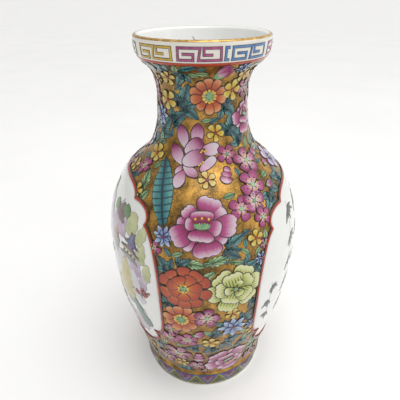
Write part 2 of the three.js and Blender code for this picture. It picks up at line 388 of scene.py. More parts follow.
# %% [markdown]
# ## The turned sections
# A potter turns each section, and Blender's spin does the same: the closed outline of the wall is swept round
# the axis in small steps. The seam of the sweep is merged, and the faces are turned outwards.

# %% Turn an outline round the axis
TURN_STEPS = 192


def deselect():
    bpy.ops.object.select_all(action="DESELECT")


def turned(name, outline, closed=True):
    """An outline of (radius, height) points spun into a ring, or into a full solid if it ends on the axis."""
    deselect()
    count = len(outline)
    edges = [(i, i + 1) for i in range(count - 1)] + ([(count - 1, 0)] if closed else [])
    mesh = bpy.data.meshes.new(name)
    mesh.from_pydata([(0, -r, z) for r, z in outline], edges, [])
    piece = bpy.data.objects.new(name, mesh)
    bpy.context.collection.objects.link(piece)
    bpy.context.view_layer.objects.active = piece
    piece.select_set(True)
    bpy.ops.object.mode_set(mode="EDIT")
    bpy.ops.mesh.select_all(action="SELECT")
    bpy.ops.mesh.spin(steps=TURN_STEPS, angle=math.tau, center=(0, 0, 0), axis=(0, 0, 1))
    bpy.ops.mesh.select_all(action="SELECT")
    bpy.ops.mesh.remove_doubles(threshold=1e-6)
    bpy.ops.mesh.normals_make_consistent(inside=False)
    bpy.ops.object.mode_set(mode="OBJECT")
    bpy.ops.object.shade_smooth_by_angle(angle=math.radians(40))
    return piece


def wall_between(low, high, lift=0.0):
    """The part of the wall's line between two heights, moved out by lift."""
    inner = (body.line[:, 1] > low + 1e-5) & (body.line[:, 1] < high - 1e-5)
    ways = np.concatenate([[body.way_at(low)], body.way[inner], [body.way_at(high)]])
    line = [np.interp(ways, body.way, body.line[:, k]) + lift * np.interp(ways, body.way, body.out[:, k])
            for k in (0, 1)]
    return np.column_stack(line)


def wall_ring(name, low, high):
    outline = np.vstack([wall_between(low, high), wall_between(low, high, -WALL)[::-1]])
    return turned(name, outline)


def place_piece(piece, slot, *nodes):
    """What every finished piece needs: its body, and the CAD nodes it stands for hidden. slot is not used."""
    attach(piece, "root")
    if nodes:
        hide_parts(*nodes)
    return piece


def coat_with(piece, *materials):
    piece.data.materials.clear()
    for material in materials:
        piece.data.materials.append(material)


# %% Upper body and neck
for name, low, high in (
    ("upper_body", belly_height, shoulder_height),
    ("neck", shoulder_height, collar_height),
):
    ring = wall_ring(name + "_wall", low, high)
    coat_with(ring, white_glaze)
    place_piece(ring, "white_glaze", name)
    print(ring.name, len(ring.data.polygons), "faces")

# %% Lower body with its floor
FLOOR_LOW = body_low.z
FLOOR_TOP = FLOOR_LOW + 7.5 * MM
SPIGOT_RADIUS = foot_radius - 1.4 * MM - 5.6 * MM


def lower_body_outline():
    outside = wall_between(BODY_START, belly_height)
    inside = wall_between(FLOOR_TOP + WALL, belly_height, -WALL)[::-1]
    turn = np.linspace(0, math.pi / 2, 8)[1:]
    corner = inside[-1] - np.array([WALL, 0])
    fillet = corner + WALL * np.column_stack([np.cos(turn), -np.sin(turn)])
    seat = foot_top + 0.3 * MM
    base = [(0, FLOOR_LOW), (SPIGOT_RADIUS, FLOOR_LOW), (SPIGOT_RADIUS, seat), (GROOVE_RADIUS, seat),
            (GROOVE_RADIUS, seat + 0.8 * MM), (GROOVE_RADIUS + 0.5 * MM, seat + 1.6 * MM)]
    return np.vstack([base, outside, inside, fillet, [(0, FLOOR_TOP)]])


lower_body = turned("lower_body_wall", lower_body_outline(), closed=False)
coat_with(lower_body, white_glaze, gold_ground)
for face in lower_body.data.polygons:
    outside = math.hypot(face.center.x, face.center.y) > GROOVE_RADIUS - 1 * MM
    face.material_index = int(outside and face.center.z < BODY_START)
place_piece(lower_body, "white_glaze", "lower_body")
print(lower_body.name, len(lower_body.data.polygons), "faces")

# %% Mouth with its rounded lip


def mouth_outline():
    turn = np.linspace(0, math.pi, 17)
    centre = np.array([lip_radius - WALL / 2, lip_top - WALL / 2])
    rounding = centre + WALL / 2 * np.column_stack([np.cos(turn), np.sin(turn)])
    outside = wall_between(collar_height, MOUTH_HEIGHT)
    return np.vstack([outside, rounding, wall_between(collar_height, MOUTH_HEIGHT, -WALL)[::-1]])


mouth = turned("mouth_collar", mouth_outline())
coat_with(mouth, white_glaze, cream_shaded_glaze)
# The outward faces below the lip take the darker glaze copy, which is painted shade.
for face in mouth.data.polygons:
    out = face.normal.x * face.center.x + face.normal.y * face.center.y
    face.material_index = int(out > 0 and face.center.z < lip_top)
place_piece(mouth, "white_glaze", "mouth")
print(mouth.name, len(mouth.data.polygons), "faces")

# %% Foot ring, glazed outside and bare where it stands


def foot_outline():
    inside = foot_radius - 1.4 * MM - 5.3 * MM
    turn = np.linspace(-math.pi / 2, 0, 7)[:-1]
    outer_edge = np.array([foot_radius - 2.4 * MM, 1 * MM]) + MM * np.column_stack([np.cos(turn),
                                                                                    np.sin(turn)])
    inner_edge = np.array([inside + MM, 1 * MM]) - MM * np.column_stack([np.sin(-turn), np.cos(turn)])
    top = [(foot_radius - 0.35 * MM, foot_top - 1.25 * MM), (GROOVE_RADIUS, foot_top - 0.9 * MM),
           (GROOVE_RADIUS, foot_top), (inside, foot_top)]
    return np.vstack([outer_edge, foot.line, top, inner_edge])


foot_ring = turned("foot_ring_turned", foot_outline())
coat_with(foot_ring, white_glaze, bare_clay, gold_ground)
STANDING_EDGE = 0.8 * MM
GOLD_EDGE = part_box("lappet_band")[1].z - 0.3 * MM
for face in foot_ring.data.polygons:
    outside = math.hypot(face.center.x, face.center.y) > foot_radius - 2.2 * MM
    standing = face.center.z < STANDING_EDGE
    face.material_index = 1 if standing else 2 if outside and face.center.z > GOLD_EDGE else 0
place_piece(foot_ring, "bare_foot", "foot_ring")
print(foot_ring.name, len(foot_ring.data.polygons), "faces")

# %% [markdown]
# ## Gold ground, ring lines and lip gilding
# Each is a coat far thinner than the wall. It is spun from the wall's own line, moved out by the coat's
# lift, so it follows the pot exactly. The panels' white coats go over the gold later, a little higher.

# %% Coats round the whole pot
GOLD_LIFT = 0.05 * MM
UNDER = -0.10 * MM


def coat_ring(name, low, high, lift):
    outline = np.vstack([wall_between(low, high, lift), wall_between(low, high, UNDER)[::-1]])
    return turned(name, outline)


mouth_line_low, mouth_line_high = (p.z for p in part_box("mouth_line"))

ground = coat_ring("gilt_ground_coat", BODY_START, mouth_line_low, GOLD_LIFT)
coat_with(ground, gold_ground)
place_piece(ground, "gilt_ground", "gilt_ground")
print(ground.name, len(ground.data.polygons), "faces")

# %% Lip gilding and waist line


def lip_gilding_outline(start=26, end=92, lift=0.12 * MM):
    turn = np.radians(np.linspace(start, end, 9))
    centre = np.array([lip_radius - WALL / 2, lip_top - WALL / 2])
    ring = np.column_stack([np.cos(turn), np.sin(turn)])
    swell = WALL / 2 + lift * np.sin(np.linspace(0.15, math.pi - 0.15, 9))[:, None]
    return np.vstack([centre + ring * swell, (centre + ring * (WALL / 2 + UNDER))[::-1]])


gilding = turned("lip_gilding_line", lip_gilding_outline())
coat_with(gilding, burnished_gold)
place_piece(gilding, "bright_gilding", "lip_gilding")

waist_low, waist_high = (p.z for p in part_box("waist_line"))
bulge = np.linspace(-1, 1, 9)
waist_side = np.column_stack([
    GROOVE_RADIUS + 0.5 * MM * np.sqrt(1 - 0.9 * bulge**2),
    (waist_low + waist_high) / 2 + bulge * (waist_high - waist_low) / 2,
])
waist_back = np.array([[GROOVE_RADIUS - 0.1 * MM, waist_high], [GROOVE_RADIUS - 0.1 * MM, waist_low]])
waist = turned("waist_line_ring", np.vstack([waist_side, waist_back]))
coat_with(waist, gold_ground)
place_piece(waist, "bright_gilding", "waist_line")
print(gilding.name, waist.name, "done")

# %% [markdown]
# ## Enamel pads
# Overglaze enamel is laid on with a loaded brush, so every petal, leaf and dot on the real pot is a low
# cushion with a drawn dark edge. Bump in a material can't give that edge its own shine, so each is a real
# closed pad. A pad starts as a filled circle that is pushed to an outline, then it is extruded up and its
# top is drawn in ring by ring. Each outline is modelled once, and its copies are bent on to the wall.

# %% Model one pad


COARSE_RINGS = (1.0, 0.86, 0.6, 0.3)
FINE_RINGS = (1.0, 0.86, 0.7, 0.52, 0.34, 0.18, 0.06)
FINE_FROM = 9 * MM


class PadShape:
    """A flat outline, one unit long from its root at (0, 0) to its tip at (0, 1), as a closed cushion."""

    def __init__(self, outline, middle=(0.0, 0.55), rings=COARSE_RINGS):
        deselect()
        bpy.ops.mesh.primitive_circle_add(vertices=len(outline), radius=1, fill_type="NGON")
        blank = bpy.context.object
        for vertex, (x, y) in zip(blank.data.vertices, outline):
            vertex.co = (x, y, 0)
        bpy.ops.object.mode_set(mode="EDIT")
        bpy.ops.mesh.select_all(action="SELECT")
        size = 1.0
        for ring in rings:
            bpy.ops.mesh.extrude_region_move(TRANSFORM_OT_translate={"value": (0, 0, 1)})
            factor = ring / size
            bpy.ops.transform.resize(value=(factor, factor, 1), center_override=(*middle, 0))
            size = ring
        bpy.ops.mesh.select_all(action="SELECT")
        bpy.ops.mesh.normals_make_consistent(inside=False)
        bpy.ops.object.mode_set(mode="OBJECT")
        corners = np.array([vertex.co for vertex in blank.data.vertices])
        self.level = np.rint(corners[:, 2]).astype(int)
        self.ring = np.array((1.0, *rings))[self.level]
        self.middle = np.array(middle)
        self.reach = (corners[:, :2] - self.middle) / self.ring[:, None]
        self.faces = [tuple(face.vertices) for face in blank.data.polygons]
        self.corners = len(outline)
        bpy.data.objects.remove(blank)
        self.fine = PadShape(outline, middle, FINE_RINGS) if rings == COARSE_RINGS else self


def smooth_outline(corners, count):
    """A closed smooth line through a few corner points, as count points."""
    corners = np.array(corners, dtype=float)
    n = len(corners)
    t = np.linspace(0, n, count, endpoint=False)
    i = t.astype(int)
    f = (t - i)[:, None]
    a, b, c, d = (corners[(i + k) % n] for k in (-1, 0, 1, 2))
    return 0.5 * (2 * b + (c - a) * f + (2 * a - 5 * b + 4 * c - d) * f**2 + (3 * b - a - 3 * c + d) * f**3)


def mirrored(half):
    """A right half outline, from root to tip, with its left half added."""
    return list(half) + [(-x, y) for x, y in reversed(half) if x > 0]


def serrated(teeth, fullness=0.5):
    """A leaf outline with saw teeth."""
    half = [(0, 0)]
    for k in range(teeth):
        y = (k + 0.45) / (teeth + 0.3)
        width = fullness * math.sin(math.pi * y**0.8)
        half += [(width, y + 0.02), (width * 0.78, y + 0.05)]
    return mirrored(half + [(0, 1)])


round_petal = PadShape(smooth_outline(mirrored([(0.13, 0), (0.36, 0.32), (0.5, 0.68), (0.27, 0.97)]), 14))
full_petal = PadShape(smooth_outline(mirrored([(0.16, 0), (0.4, 0.25), (0.5, 0.6), (0.4, 0.88), (0.16, 1)]),
                                     16))
pointed_petal = PadShape(smooth_outline(mirrored([(0.1, 0), (0.42, 0.36), (0.4, 0.66), (0, 1)]), 14))
lobed_petal = PadShape(
    smooth_outline(mirrored([(0.2, 0), (0.43, 0.28), (0.5, 0.62), (0.42, 0.84), (0.27, 0.98), (0.12, 0.93),
                             (0, 1)]), 22),
    middle=(0, 0.5),
)
petal_leaf = PadShape(smooth_outline(mirrored([(0.08, 0), (0.4, 0.28), (0.5, 0.58), (0.32, 0.86),
                                               (0.0, 1)]), 16), (0, 0.5))
slim_leaf = PadShape(smooth_outline(mirrored([(0, 0), (0.34, 0.2), (0.5, 0.5), (0.3, 0.8), (0, 1)]), 16),
                     (0, 0.5))
saw_leaf = PadShape(serrated(5), (0, 0.45))
dot = PadShape([(0.5 * math.sin(k * math.tau / 8), 0.5 + 0.5 * math.cos(k * math.tau / 8)) for k in range(8)],
               (0, 0.5), (1.0, 0.6))
disc = PadShape([(0.5 * math.sin(k * math.tau / 16),
                  0.5 + 0.5 * math.cos(k * math.tau / 16)) for k in range(16)],
                (0, 0.5), (1.0, 0.8, 0.45))
print("faces in a petal pad:", len(round_petal.faces), "and in a dot:", len(dot.faces))

# %% [markdown]
# ## Gathering pads into a piece
# Hundreds of pads that belong together, such as all the teal leaves of the neck, become one piece. Each
# copy keeps its own mesh inside it. A copy also carries what its enamel needs: a UV map over the pad, so
# colour can run from root to tip, and a small attribute that says where the drawn edge is and how dark that
# copy is. A second UV map gives each pad its own square, so colours can later be baked without overlaps.

# %% Gather copies and build the piece
EDGE_WIDTH = 0.5 * MM
PAD_FOOT = 0.0
# An edge that is straight sinks into the wall by its length squared over eight times the wall's bend.
SAG_ROOM = 280  # mm, eight times the tightest bend
OUTLINE_LENGTH = 2.2  # of a pad, in lengths or widths, whichever is longer


class Painting:
    """A piece of many enamel copies laid on one turned surface."""

    def __init__(self, name, slot, materials, surface=body, keep_out=True):
        self.name, self.slot, self.materials = name, slot, materials
        self.surface, self.keep_out = surface, keep_out
        self.points, self.faces, self.paints, self.kinds = [], [], [], []
        self.uv, self.count, self.total = [], 0, 0

    def add(self, flat, lift, faces, edge, unit, angle, height, shade, tint, material):
        """One copy: flat places, lifts, faces, edge mask and unit places for its own UV map."""
        way, turn = self.surface.spots(flat, angle, height)
        if self.keep_out:
            way, turn, whole = clear_of_panels(way, turn)
            if not whole:
                return
        self.points.append(self.surface.raised(way, turn, lift))
        self.faces.append([tuple(self.total + v for v in face) for face in faces])
        self.total += len(way)
        self.paints.append(np.column_stack([edge, np.full(len(edge), shade), np.full(len(edge), tint)]))
        self.uv.append(unit)
        self.kinds.append(np.full(len(faces), material))
        self.count += 1

    def pad(self, shape, right, up, turn, wide, long, angle, height, lift=0.1, rise=0.14, shade=0.5, tint=0.0,
            material=0, edge_width=EDGE_WIDTH):
        """A copy of a pad, its root at (right, up), turned clockwise from up by degrees. Lifts are in mm."""
        size = np.array([wide, long])
        if max(wide, long) > FINE_FROM:
            shape = shape.fine
        lift += (OUTLINE_LENGTH * max(wide, long) / MM / shape.corners) ** 2 / SAG_ROOM
        reach = shape.reach * size
        far = np.linalg.norm(reach, axis=1)
        ring = np.where(shape.level == 2, np.maximum(1 - edge_width / np.maximum(far, 1e-6), 0.45),
                        shape.ring)
        local = shape.middle * size + reach * ring[:, None]
        a = math.radians(turn)
        flat = np.column_stack([
            right + local[:, 0] * math.cos(a) + local[:, 1] * math.sin(a),
            up - local[:, 0] * math.sin(a) + local[:, 1] * math.cos(a),
        ])
        dome = lift + 0.02 + rise * np.sqrt(np.maximum(1 - ring**2, 0))
        lifts = np.where(shape.level == 0, PAD_FOOT, dome) * MM
        unit = local / size + np.array([0.5, 0])
        self.add(flat, lifts, shape.faces, (shape.level <= 1).astype(float), unit, angle, height, shade, tint,
                 material)

    def stroke(self, line, widths, angle, height, lift=0.1, rise=0.05, shade=0.5, tint=0.0, material=0,
               edge_width=0.2 * MM, closed=False, step=2.0 * MM):
        """A brush stroke along flat points, mitred at its corners, with one width or one for each point."""
        line = np.array(line, dtype=float)
        widths = np.broadcast_to(np.array(widths, dtype=float), (len(line),))
        if closed:
            line = np.vstack([line, line[:1]])
            widths = np.append(widths, widths[0])
        legs = np.linalg.norm(np.diff(line, axis=0), axis=1)
        places = [0.0]
        for k, leg in enumerate(legs):
            cuts = max(1, math.ceil(leg / step))
            places += [k + (j + 1) / cuts for j in range(cuts)]
        places = np.array(places[:-1] if closed else places)
        index = np.arange(len(line))
        line_x, line_y, width = (np.interp(places, index, values) for values in (line[:, 0], line[:, 1],
                                                                                 widths))
        centre = np.column_stack([line_x, line_y])
        if closed:
            before, after = centre - np.roll(centre, 1, 0), np.roll(centre, -1, 0) - centre
        else:
            steps = np.diff(centre, axis=0)
            before, after = np.vstack([steps[:1], steps]), np.vstack([steps, steps[-1:]])
        before /= np.linalg.norm(before, axis=1)[:, None]
        after /= np.linalg.norm(after, axis=1)[:, None]
        along = before + after
        along /= np.linalg.norm(along, axis=1)[:, None]
        mitre = 1 / np.maximum(np.abs(np.sum(along * before, axis=1)), 0.5)
        side = np.column_stack([along[:, 1], -along[:, 0]]) * mitre[:, None]
        half = width / 2
        inner = np.maximum(half - edge_width, half * 0.3)
        columns = [(-half, PAD_FOOT, 1), (-half, lift, 1), (-inner, lift + rise, 0), (inner, lift + rise, 0),
                   (half, lift, 1), (half, PAD_FOOT, 1)]
        n, m = len(centre), len(columns)
        flat = np.vstack([centre + side * offset[:, None] for offset, _, _ in columns])
        lifts = np.repeat([high for _, high, _ in columns], n) * MM
        edge = np.repeat([float(e) for _, _, e in columns], n)
        along_unit = np.linspace(0, 1, n)
        unit = np.vstack([np.column_stack([np.full(n, k / (m - 1)), along_unit]) for k in range(m)])
        faces = []
        runs = n if closed else n - 1
        for k in range(m):
            for i in range(runs):
                j = (i + 1) % n
                p, q = k * n, ((k + 1) % m) * n
                faces.append((p + i, p + j, q + j, q + i))
        if not closed:
            faces.append(tuple(k * n for k in range(m)))
            faces.append(tuple(k * n + n - 1 for k in reversed(range(m))))
        self.add(flat, lifts, faces, edge, unit, angle, height, shade, tint, material)

    def build(self, *nodes):
        """Make the piece's mesh from all copies."""
        if not self.count:
            return None
        mesh = bpy.data.meshes.new(self.name)
        faces = [face for copy in self.faces for face in copy]
        mesh.from_pydata(np.vstack(self.points).tolist(), [], faces)
        piece = bpy.data.objects.new(self.name, mesh)
        bpy.context.collection.objects.link(piece)
        coat_with(piece, *self.materials)
        mesh.polygons.foreach_set("material_index", np.concatenate(self.kinds))
        mesh.polygons.foreach_set("use_smooth", np.ones(len(faces), dtype=bool))
        paints = mesh.attributes.new("paint", "FLOAT_COLOR", "POINT")
        rows = np.vstack(self.paints)
        paints.data.foreach_set("color", np.column_stack([rows, np.ones(len(rows))]).ravel())
        corners = np.empty(len(mesh.loops), dtype=int)
        mesh.loops.foreach_get("vertex_index", corners)
        unit = np.vstack(self.uv)
        own = mesh.uv_layers.new(name="Pad")
        own.data.foreach_set("uv", unit[corners].ravel())
        side = math.ceil(math.sqrt(self.count))
        copy_of = np.repeat(np.arange(self.count), [len(p) for p in self.points])
        cell = np.column_stack([copy_of % side, copy_of // side])
        baked = (cell + 0.06 + 0.88 * np.clip(unit, 0, 1)) / side
        bake = mesh.uv_layers.new(name="OFBake")
        bake.data.foreach_set("uv", baked[corners].ravel())
        mesh.uv_layers.active = own
        mesh.update()
        deselect()
        bpy.context.view_layer.objects.active = piece
        piece.select_set(True)
        bpy.ops.object.mode_set(mode="EDIT")
        bpy.ops.mesh.select_all(action="SELECT")
        bpy.ops.mesh.normals_make_consistent(inside=False)
        bpy.ops.object.mode_set(mode="OBJECT")
        place_piece(piece, self.slot, *nodes)
        print(self.name, self.count, "copies,", len(faces), "faces")
        return piece


print("painting tools ready")

# %% [markdown]
# ## The panels' outline
# Two white panels interrupt the gold. Their lobed outline is drawn flat as five smooth curves for one half,
# and mirrored. It is star-shaped: every point of it can be seen from the middle. So one radius for each
# direction tells whether a place is inside the panel, and flowers that would run into it are cut at its
# edge.

# %% Panel outline
PANEL_MIDDLE = 107.5
PANEL_SIDES = {"right": (88.6, 5.0), "left": (-90.0, 0.0)}  # degrees round, and mm lower than planned


def bezier(p0, p1, p2, p3, count=12):
    t = np.linspace(0, 1, count, endpoint=False)[:, None]
    p0, p1, p2, p3 = map(np.array, (p0, p1, p2, p3))
    return (1 - t) ** 3 * p0 + 3 * t * (1 - t) ** 2 * p1 + 3 * t**2 * (1 - t) * p2 + t**3 * p3


def panel_half(out=0.0):
    """The outline's right half from top to bottom, moved out by so many mm. Right runs along the belly."""
    width, top, bottom = 69 + out, 170 + out, 45 - out
    tx, ty = 42.8 + out, top - 7.2
    sx, sy = 57.5 + out, top - 18.4
    fx, fy = 58.4 + out, bottom + 20.6
    cx, cy = fx - 13, bottom + 2.6
    side = (sy - fy) / 2
    return np.vstack([
        bezier((0, top), (tx * 0.6, top), (tx * 0.95, top - 1), (tx, ty)),
        bezier((tx, ty), (tx + 10, ty + 0.7), (sx + 5, sy + 6.5), (sx, sy)),
        bezier((sx, sy), (width - 2.5, sy - 5), (width, sy - side * 0.6), (width, PANEL_MIDDLE)),
        bezier((width, PANEL_MIDDLE), (width, fy + side * 0.25), (width - 2.5, fy - 3), (fx, fy)),
        bezier((fx, fy), (fx + 4.2, fy - 6), (fx - 1.5, bottom + 4.5), (cx, cy)),
        bezier((cx, cy), (fx * 0.52, bottom + 0.8), (fx * 0.26, bottom), (0, bottom)),
        [(0, bottom)],
    ])


def panel_outline(out=0.0):
    """The whole outline, clockwise from its top, in mm."""
    half = panel_half(out)
    return np.vstack([half[:-1], (half * [-1, 1])[::-1][:-1]])


edge_line = panel_outline(0.4)
edge_angle = np.arctan2(edge_line[:, 0], edge_line[:, 1] - PANEL_MIDDLE)
order = np.argsort(edge_angle)
EDGE_ANGLE = edge_angle[order]
EDGE_RADIUS = np.hypot(edge_line[:, 0], edge_line[:, 1] - PANEL_MIDDLE)[order]
BELLY_MM = belly_radius / MM


def panel_depth(turn, height, side):
    """1 on the panel's edge, less inside it. turn in radians, height in metres."""
    facing, drop = side
    x = (turn - math.radians(facing) + math.pi) % math.tau - math.pi
    x = x * BELLY_MM
    y = height / MM - PANEL_MIDDLE + drop
    return np.hypot(x, y) / np.interp(np.arctan2(x, y), EDGE_ANGLE, EDGE_RADIUS, period=math.tau), x, y


LOWEST = BODY_START + 0.2 * MM
HIGHEST = mouth_line_low - 0.1 * MM


def clear_of_panels(way, turn):
    """Places moved out of the panels to their edges, and whether enough of the copy is left."""
    height = np.clip(np.interp(way, body.way, body.line[:, 1]), LOWEST, HIGHEST)
    moved = 0
    for facing, drop in PANEL_SIDES.values():
        depth, x, y = panel_depth(turn, height, (facing, drop))
        inside = depth < 1
        moved += np.count_nonzero(inside)
        grow = np.where(inside, 1 / np.maximum(depth, 1e-3), 1)
        turn = np.where(inside, math.radians(facing) + x * grow / BELLY_MM, turn)
        height = np.where(inside, (y * grow + PANEL_MIDDLE - drop) * MM, height)
    return body.way_at(height), turn, moved < 0.8 * len(way)


def bare_panel(angle, height, margin=0.0):
    """Whether a place in degrees and metres is inside a panel, or nearer to it than margin."""
    turn = math.radians(angle)
    return any(panel_depth(turn, height, side)[0] * 60 < 60 + margin for side in PANEL_SIDES.values())


print("panel outline points:", len(edge_line))
# %% [markdown]
# ## Enamels
# Each enamel is glass stained with metal: rose pink from gold, blue from cobalt, green from copper. It is
# thin at a petal's edge and pools at its root, so its colour runs along the petal. The pad's own map gives
# that place, a stretched noise adds brush streaks, and the edge mask draws the dark line. A clear coat
# stands for the wet gloss of the fired glass.

# %% A petal's enamel
ENAMEL_COAT = 0.3
ENAMEL_DEPTH = 0.74  # how much of a colour's light the thick enamel gives back


def tone(red, green, blue):
    """A mixed colour, given as the eye reads it from 0 to 255, as light amounts."""
    shares = [c / 255 for c in (red, green, blue)]
    return tuple(ENAMEL_DEPTH * (s / 12.92 if s < 0.04 else ((s + 0.055) / 1.055) ** 2.4) for s in shares)


def pad_places(shader):
    """Across and along the pad, its edge mask, and its own shade and tint."""
    place = shader.node("ShaderNodeUVMap", {"uv_map": "Pad"})
    split = shader.node("ShaderNodeSeparateXYZ", Vector=place)
    across, along = (Socket(shader.tree, split.output.node.outputs[0]),
                     Socket(shader.tree, split.output.node.outputs[1]))
    paint = shader.node("ShaderNodeAttribute", {"attribute_name": "paint"})
    parts = shader.node("ShaderNodeSeparateColor", Color=paint).output.node.outputs
    edge, shade, tint = (Socket(shader.tree, parts[k]) for k in range(3))
    return place, across, along, edge, shade, tint


def gloss(shader, colour, roughness=0.12):
    """The sockets that every enamel fills: colour, and the small waves of fired glass."""
    wave = shader.noise(700, 2)
    return {
        "Base Color": colour,
        "Roughness": wave * 0.12 + roughness,
        "Normal": bumped(shader, wave, 0.2, 0.05 * MM),
    }


def drawn_edge(edge, colour, line):
    """The dark line round a pad, over its colour."""
    return (edge.steps_up(0.06, 0.28) * 0.95).mix(colour, line)


def petal_enamel(name, stops, line, streak=0.3, second=None, rim=0.0, hatch=0.0):
    """Colour from root to tip with brush streaks. second colours the copies with tint 1. rim draws the
    tip's colour down the sides. hatch adds fine dark strokes that leave the root."""

    def paint(shader):
        place, across, along, edge, shade, tint = pad_places(shader)
        streaks = shader.noise(1.0, 3, 0.6, where=place, stretch=(14, 2.2, 1))
        off_middle = (across - 0.5).maths("ABSOLUTE", across - 0.5)
        run = along + (streaks - 0.5) * streak + (shade - 0.5) * 0.35 + off_middle * rim
        colour = run.ramp(list(zip((0.12, 0.5, 0.88), stops)))
        if second:
            colour = tint.mix(colour, run.ramp(list(zip((0.12, 0.5, 0.88), second))))
        if hatch:
            strokes = (across * 46).maths("SINE", across * 46).steps_up(0.3, 0.8)
            reach = 1 - (along + (streaks - 0.5) * 0.5).steps_up(0.45, 0.7)
            colour = (strokes * reach * hatch).mix(colour, line)
        return gloss(shader, drawn_edge(edge, colour, line))

    return finish_of(name, paint, coat=ENAMEL_COAT)


def leaf_enamel(name, dark, middle, pale, vein, line, veins=7, slope=0.9):
    """A leaf with a midrib, slanting side veins and a paler rim."""

    def paint(shader):
        place, across, along, edge, shade = pad_places(shader)[:5]
        off_rib = (across - 0.5).maths("ABSOLUTE", across - 0.5)
        cloud = shader.noise(1.0, 3, 0.6, where=place, stretch=(5, 4, 1))
        body_tone = (off_rib * 1.3 + cloud * 0.7 + (shade - 0.5) * 0.5).ramp([(0.2, dark), (0.5, middle),
                                                                              (0.85, pale)])
        slant = (along - off_rib * slope) * (math.tau * veins)
        ribs = slant.maths("SINE", slant).steps_up(0.55, 0.85)
        rib = 1 - off_rib.steps_up(0.025, 0.06)
        veined = ribs.maths("MAXIMUM", ribs * 0.85, rib)
        return gloss(shader, drawn_edge(edge, (veined * 0.9).mix(body_tone, vein), line))

    return finish_of(name, paint, coat=ENAMEL_COAT)


def dot_enamel(name, colour, light, line):
    """One pooled colour whose lightness follows each copy's shade and small clouds, with a drawn edge."""

    def paint(shader):
        edge, shade = pad_places(shader)[3:5]
        cloud = shader.noise(900, 2, 0.5)
        pooled = (shade * 0.5 + cloud * 0.5).ramp([(0.3, colour), (0.7, light)])
        return gloss(shader, (edge.steps_up(0.4, 0.8) * 0.85).mix(pooled, line))

    return finish_of(name, paint, coat=ENAMEL_COAT)


DARK_LINE = tone(32, 18, 18)
PLUM_LINE = tone(42, 10, 30)
WHITE = tone(224, 208, 218)
peony_pink = petal_enamel("peony_pink", (tone(132, 10, 72), tone(184, 76, 136), tone(224, 198, 212)),
                          PLUM_LINE, 0.3)
magnolia_pink = petal_enamel("magnolia_pink", (tone(196, 96, 148), tone(220, 184, 204), WHITE), PLUM_LINE,
                             0.2, second=(WHITE, tone(212, 160, 190), tone(142, 22, 88)))
plum_pink = petal_enamel("plum_pink", (tone(230, 206, 214), tone(208, 150, 180), tone(148, 28, 92)),
                         PLUM_LINE, 0.25,
                         second=(tone(230, 196, 208), tone(192, 96, 148), tone(160, 42, 108)), rim=0.5)
orange = petal_enamel("orange", (tone(164, 48, 2), tone(200, 90, 16), tone(224, 156, 100)), DARK_LINE, 0.35)
aster_red = petal_enamel("aster_red", (tone(214, 116, 38), tone(192, 74, 4), tone(172, 54, 2)), DARK_LINE,
                         0.4, second=(tone(174, 58, 4), tone(196, 80, 10), tone(216, 138, 74)))
lime = petal_enamel("lime", (tone(162, 176, 52), tone(200, 208, 112), tone(230, 230, 180)),
                    tone(46, 50, 26), 0.3, hatch=0.85)
iris_blue = petal_enamel("iris_blue", (tone(84, 104, 172), tone(140, 166, 210), tone(196, 210, 226)),
                         tone(30, 34, 66), 0.3)
lavender = petal_enamel("lavender", (tone(140, 96, 160), tone(184, 156, 204), tone(224, 212, 234)),
                        tone(60, 40, 80), 0.3)
yellow = petal_enamel("yellow", (tone(206, 148, 16), tone(218, 186, 48), tone(226, 212, 122)),
                      tone(66, 44, 16), 0.3)
TEAL_LINE = tone(12, 30, 38)
teal_leaf = leaf_enamel("teal_leaf", tone(14, 60, 72), tone(36, 104, 112), tone(116, 172, 164),
                        tone(12, 40, 50), TEAL_LINE, 6)
green_leaf = leaf_enamel("green_leaf", tone(76, 128, 78), tone(126, 170, 112), tone(194, 216, 164),
                         tone(28, 52, 34), tone(24, 40, 28), 5)
ladder_leaf = leaf_enamel("ladder_leaf", tone(20, 84, 98), tone(48, 122, 130), tone(104, 168, 164),
                          tone(12, 40, 50), TEAL_LINE, 11, 0.02)
mint = dot_enamel("mint", tone(104, 156, 104), tone(170, 206, 150), tone(30, 56, 34))
anther = dot_enamel("anther", tone(226, 170, 30), tone(246, 216, 96), tone(120, 70, 20))
ink_dot = dot_enamel("ink_dot", tone(26, 16, 16), tone(52, 30, 26), tone(20, 12, 12))
rust_dot = dot_enamel("rust_dot", tone(134, 34, 18), tone(168, 62, 32), tone(60, 20, 14))
print("materials so far:", len(bpy.data.materials))
# %% [markdown]
# ## Border bands
# A painter fills a border by repeating one unit. The key fret round the collar is one bent line for each
# unit, in five colours by turns, with a dark line along both its sides. The lappets round the foot are
# nested triangles, pointing down and up by turns. Each unit is drawn once as flat points and laid at equal
# angles.

# %% Border enamels


def line_enamel(name, colour, light, line):
    """A brushed line: colour along its middle, and a drawn edge on both sides."""

    def paint(shader):
        edge = pad_places(shader)[3]
        cloud = shader.noise(420, 3, 0.6)
        brushed = cloud.ramp([(0.32, colour), (0.68, light)])
        return gloss(shader, (edge.steps_up(0.16, 0.5) * 0.95).mix(brushed, line))

    return finish_of(name, paint, coat=ENAMEL_COAT)


INK = tone(34, 24, 34)
FRET_ENAMELS = [
    line_enamel("fret_grey_green", tone(112, 134, 120), tone(150, 168, 150), INK),
    line_enamel("fret_yellow", tone(196, 158, 32), tone(226, 192, 60), INK),
    line_enamel("fret_magenta", tone(158, 58, 116), tone(192, 92, 146), INK),
    line_enamel("fret_blue", tone(62, 112, 176), tone(104, 152, 206), INK),
    line_enamel("fret_pink", tone(186, 84, 132), tone(214, 124, 162), INK),
]
iron_red = line_enamel("iron_red", tone(172, 44, 4), tone(204, 72, 14), tone(150, 36, 6))
brown_line = line_enamel("brown_line", tone(84, 36, 24), tone(110, 52, 30), tone(60, 24, 18))

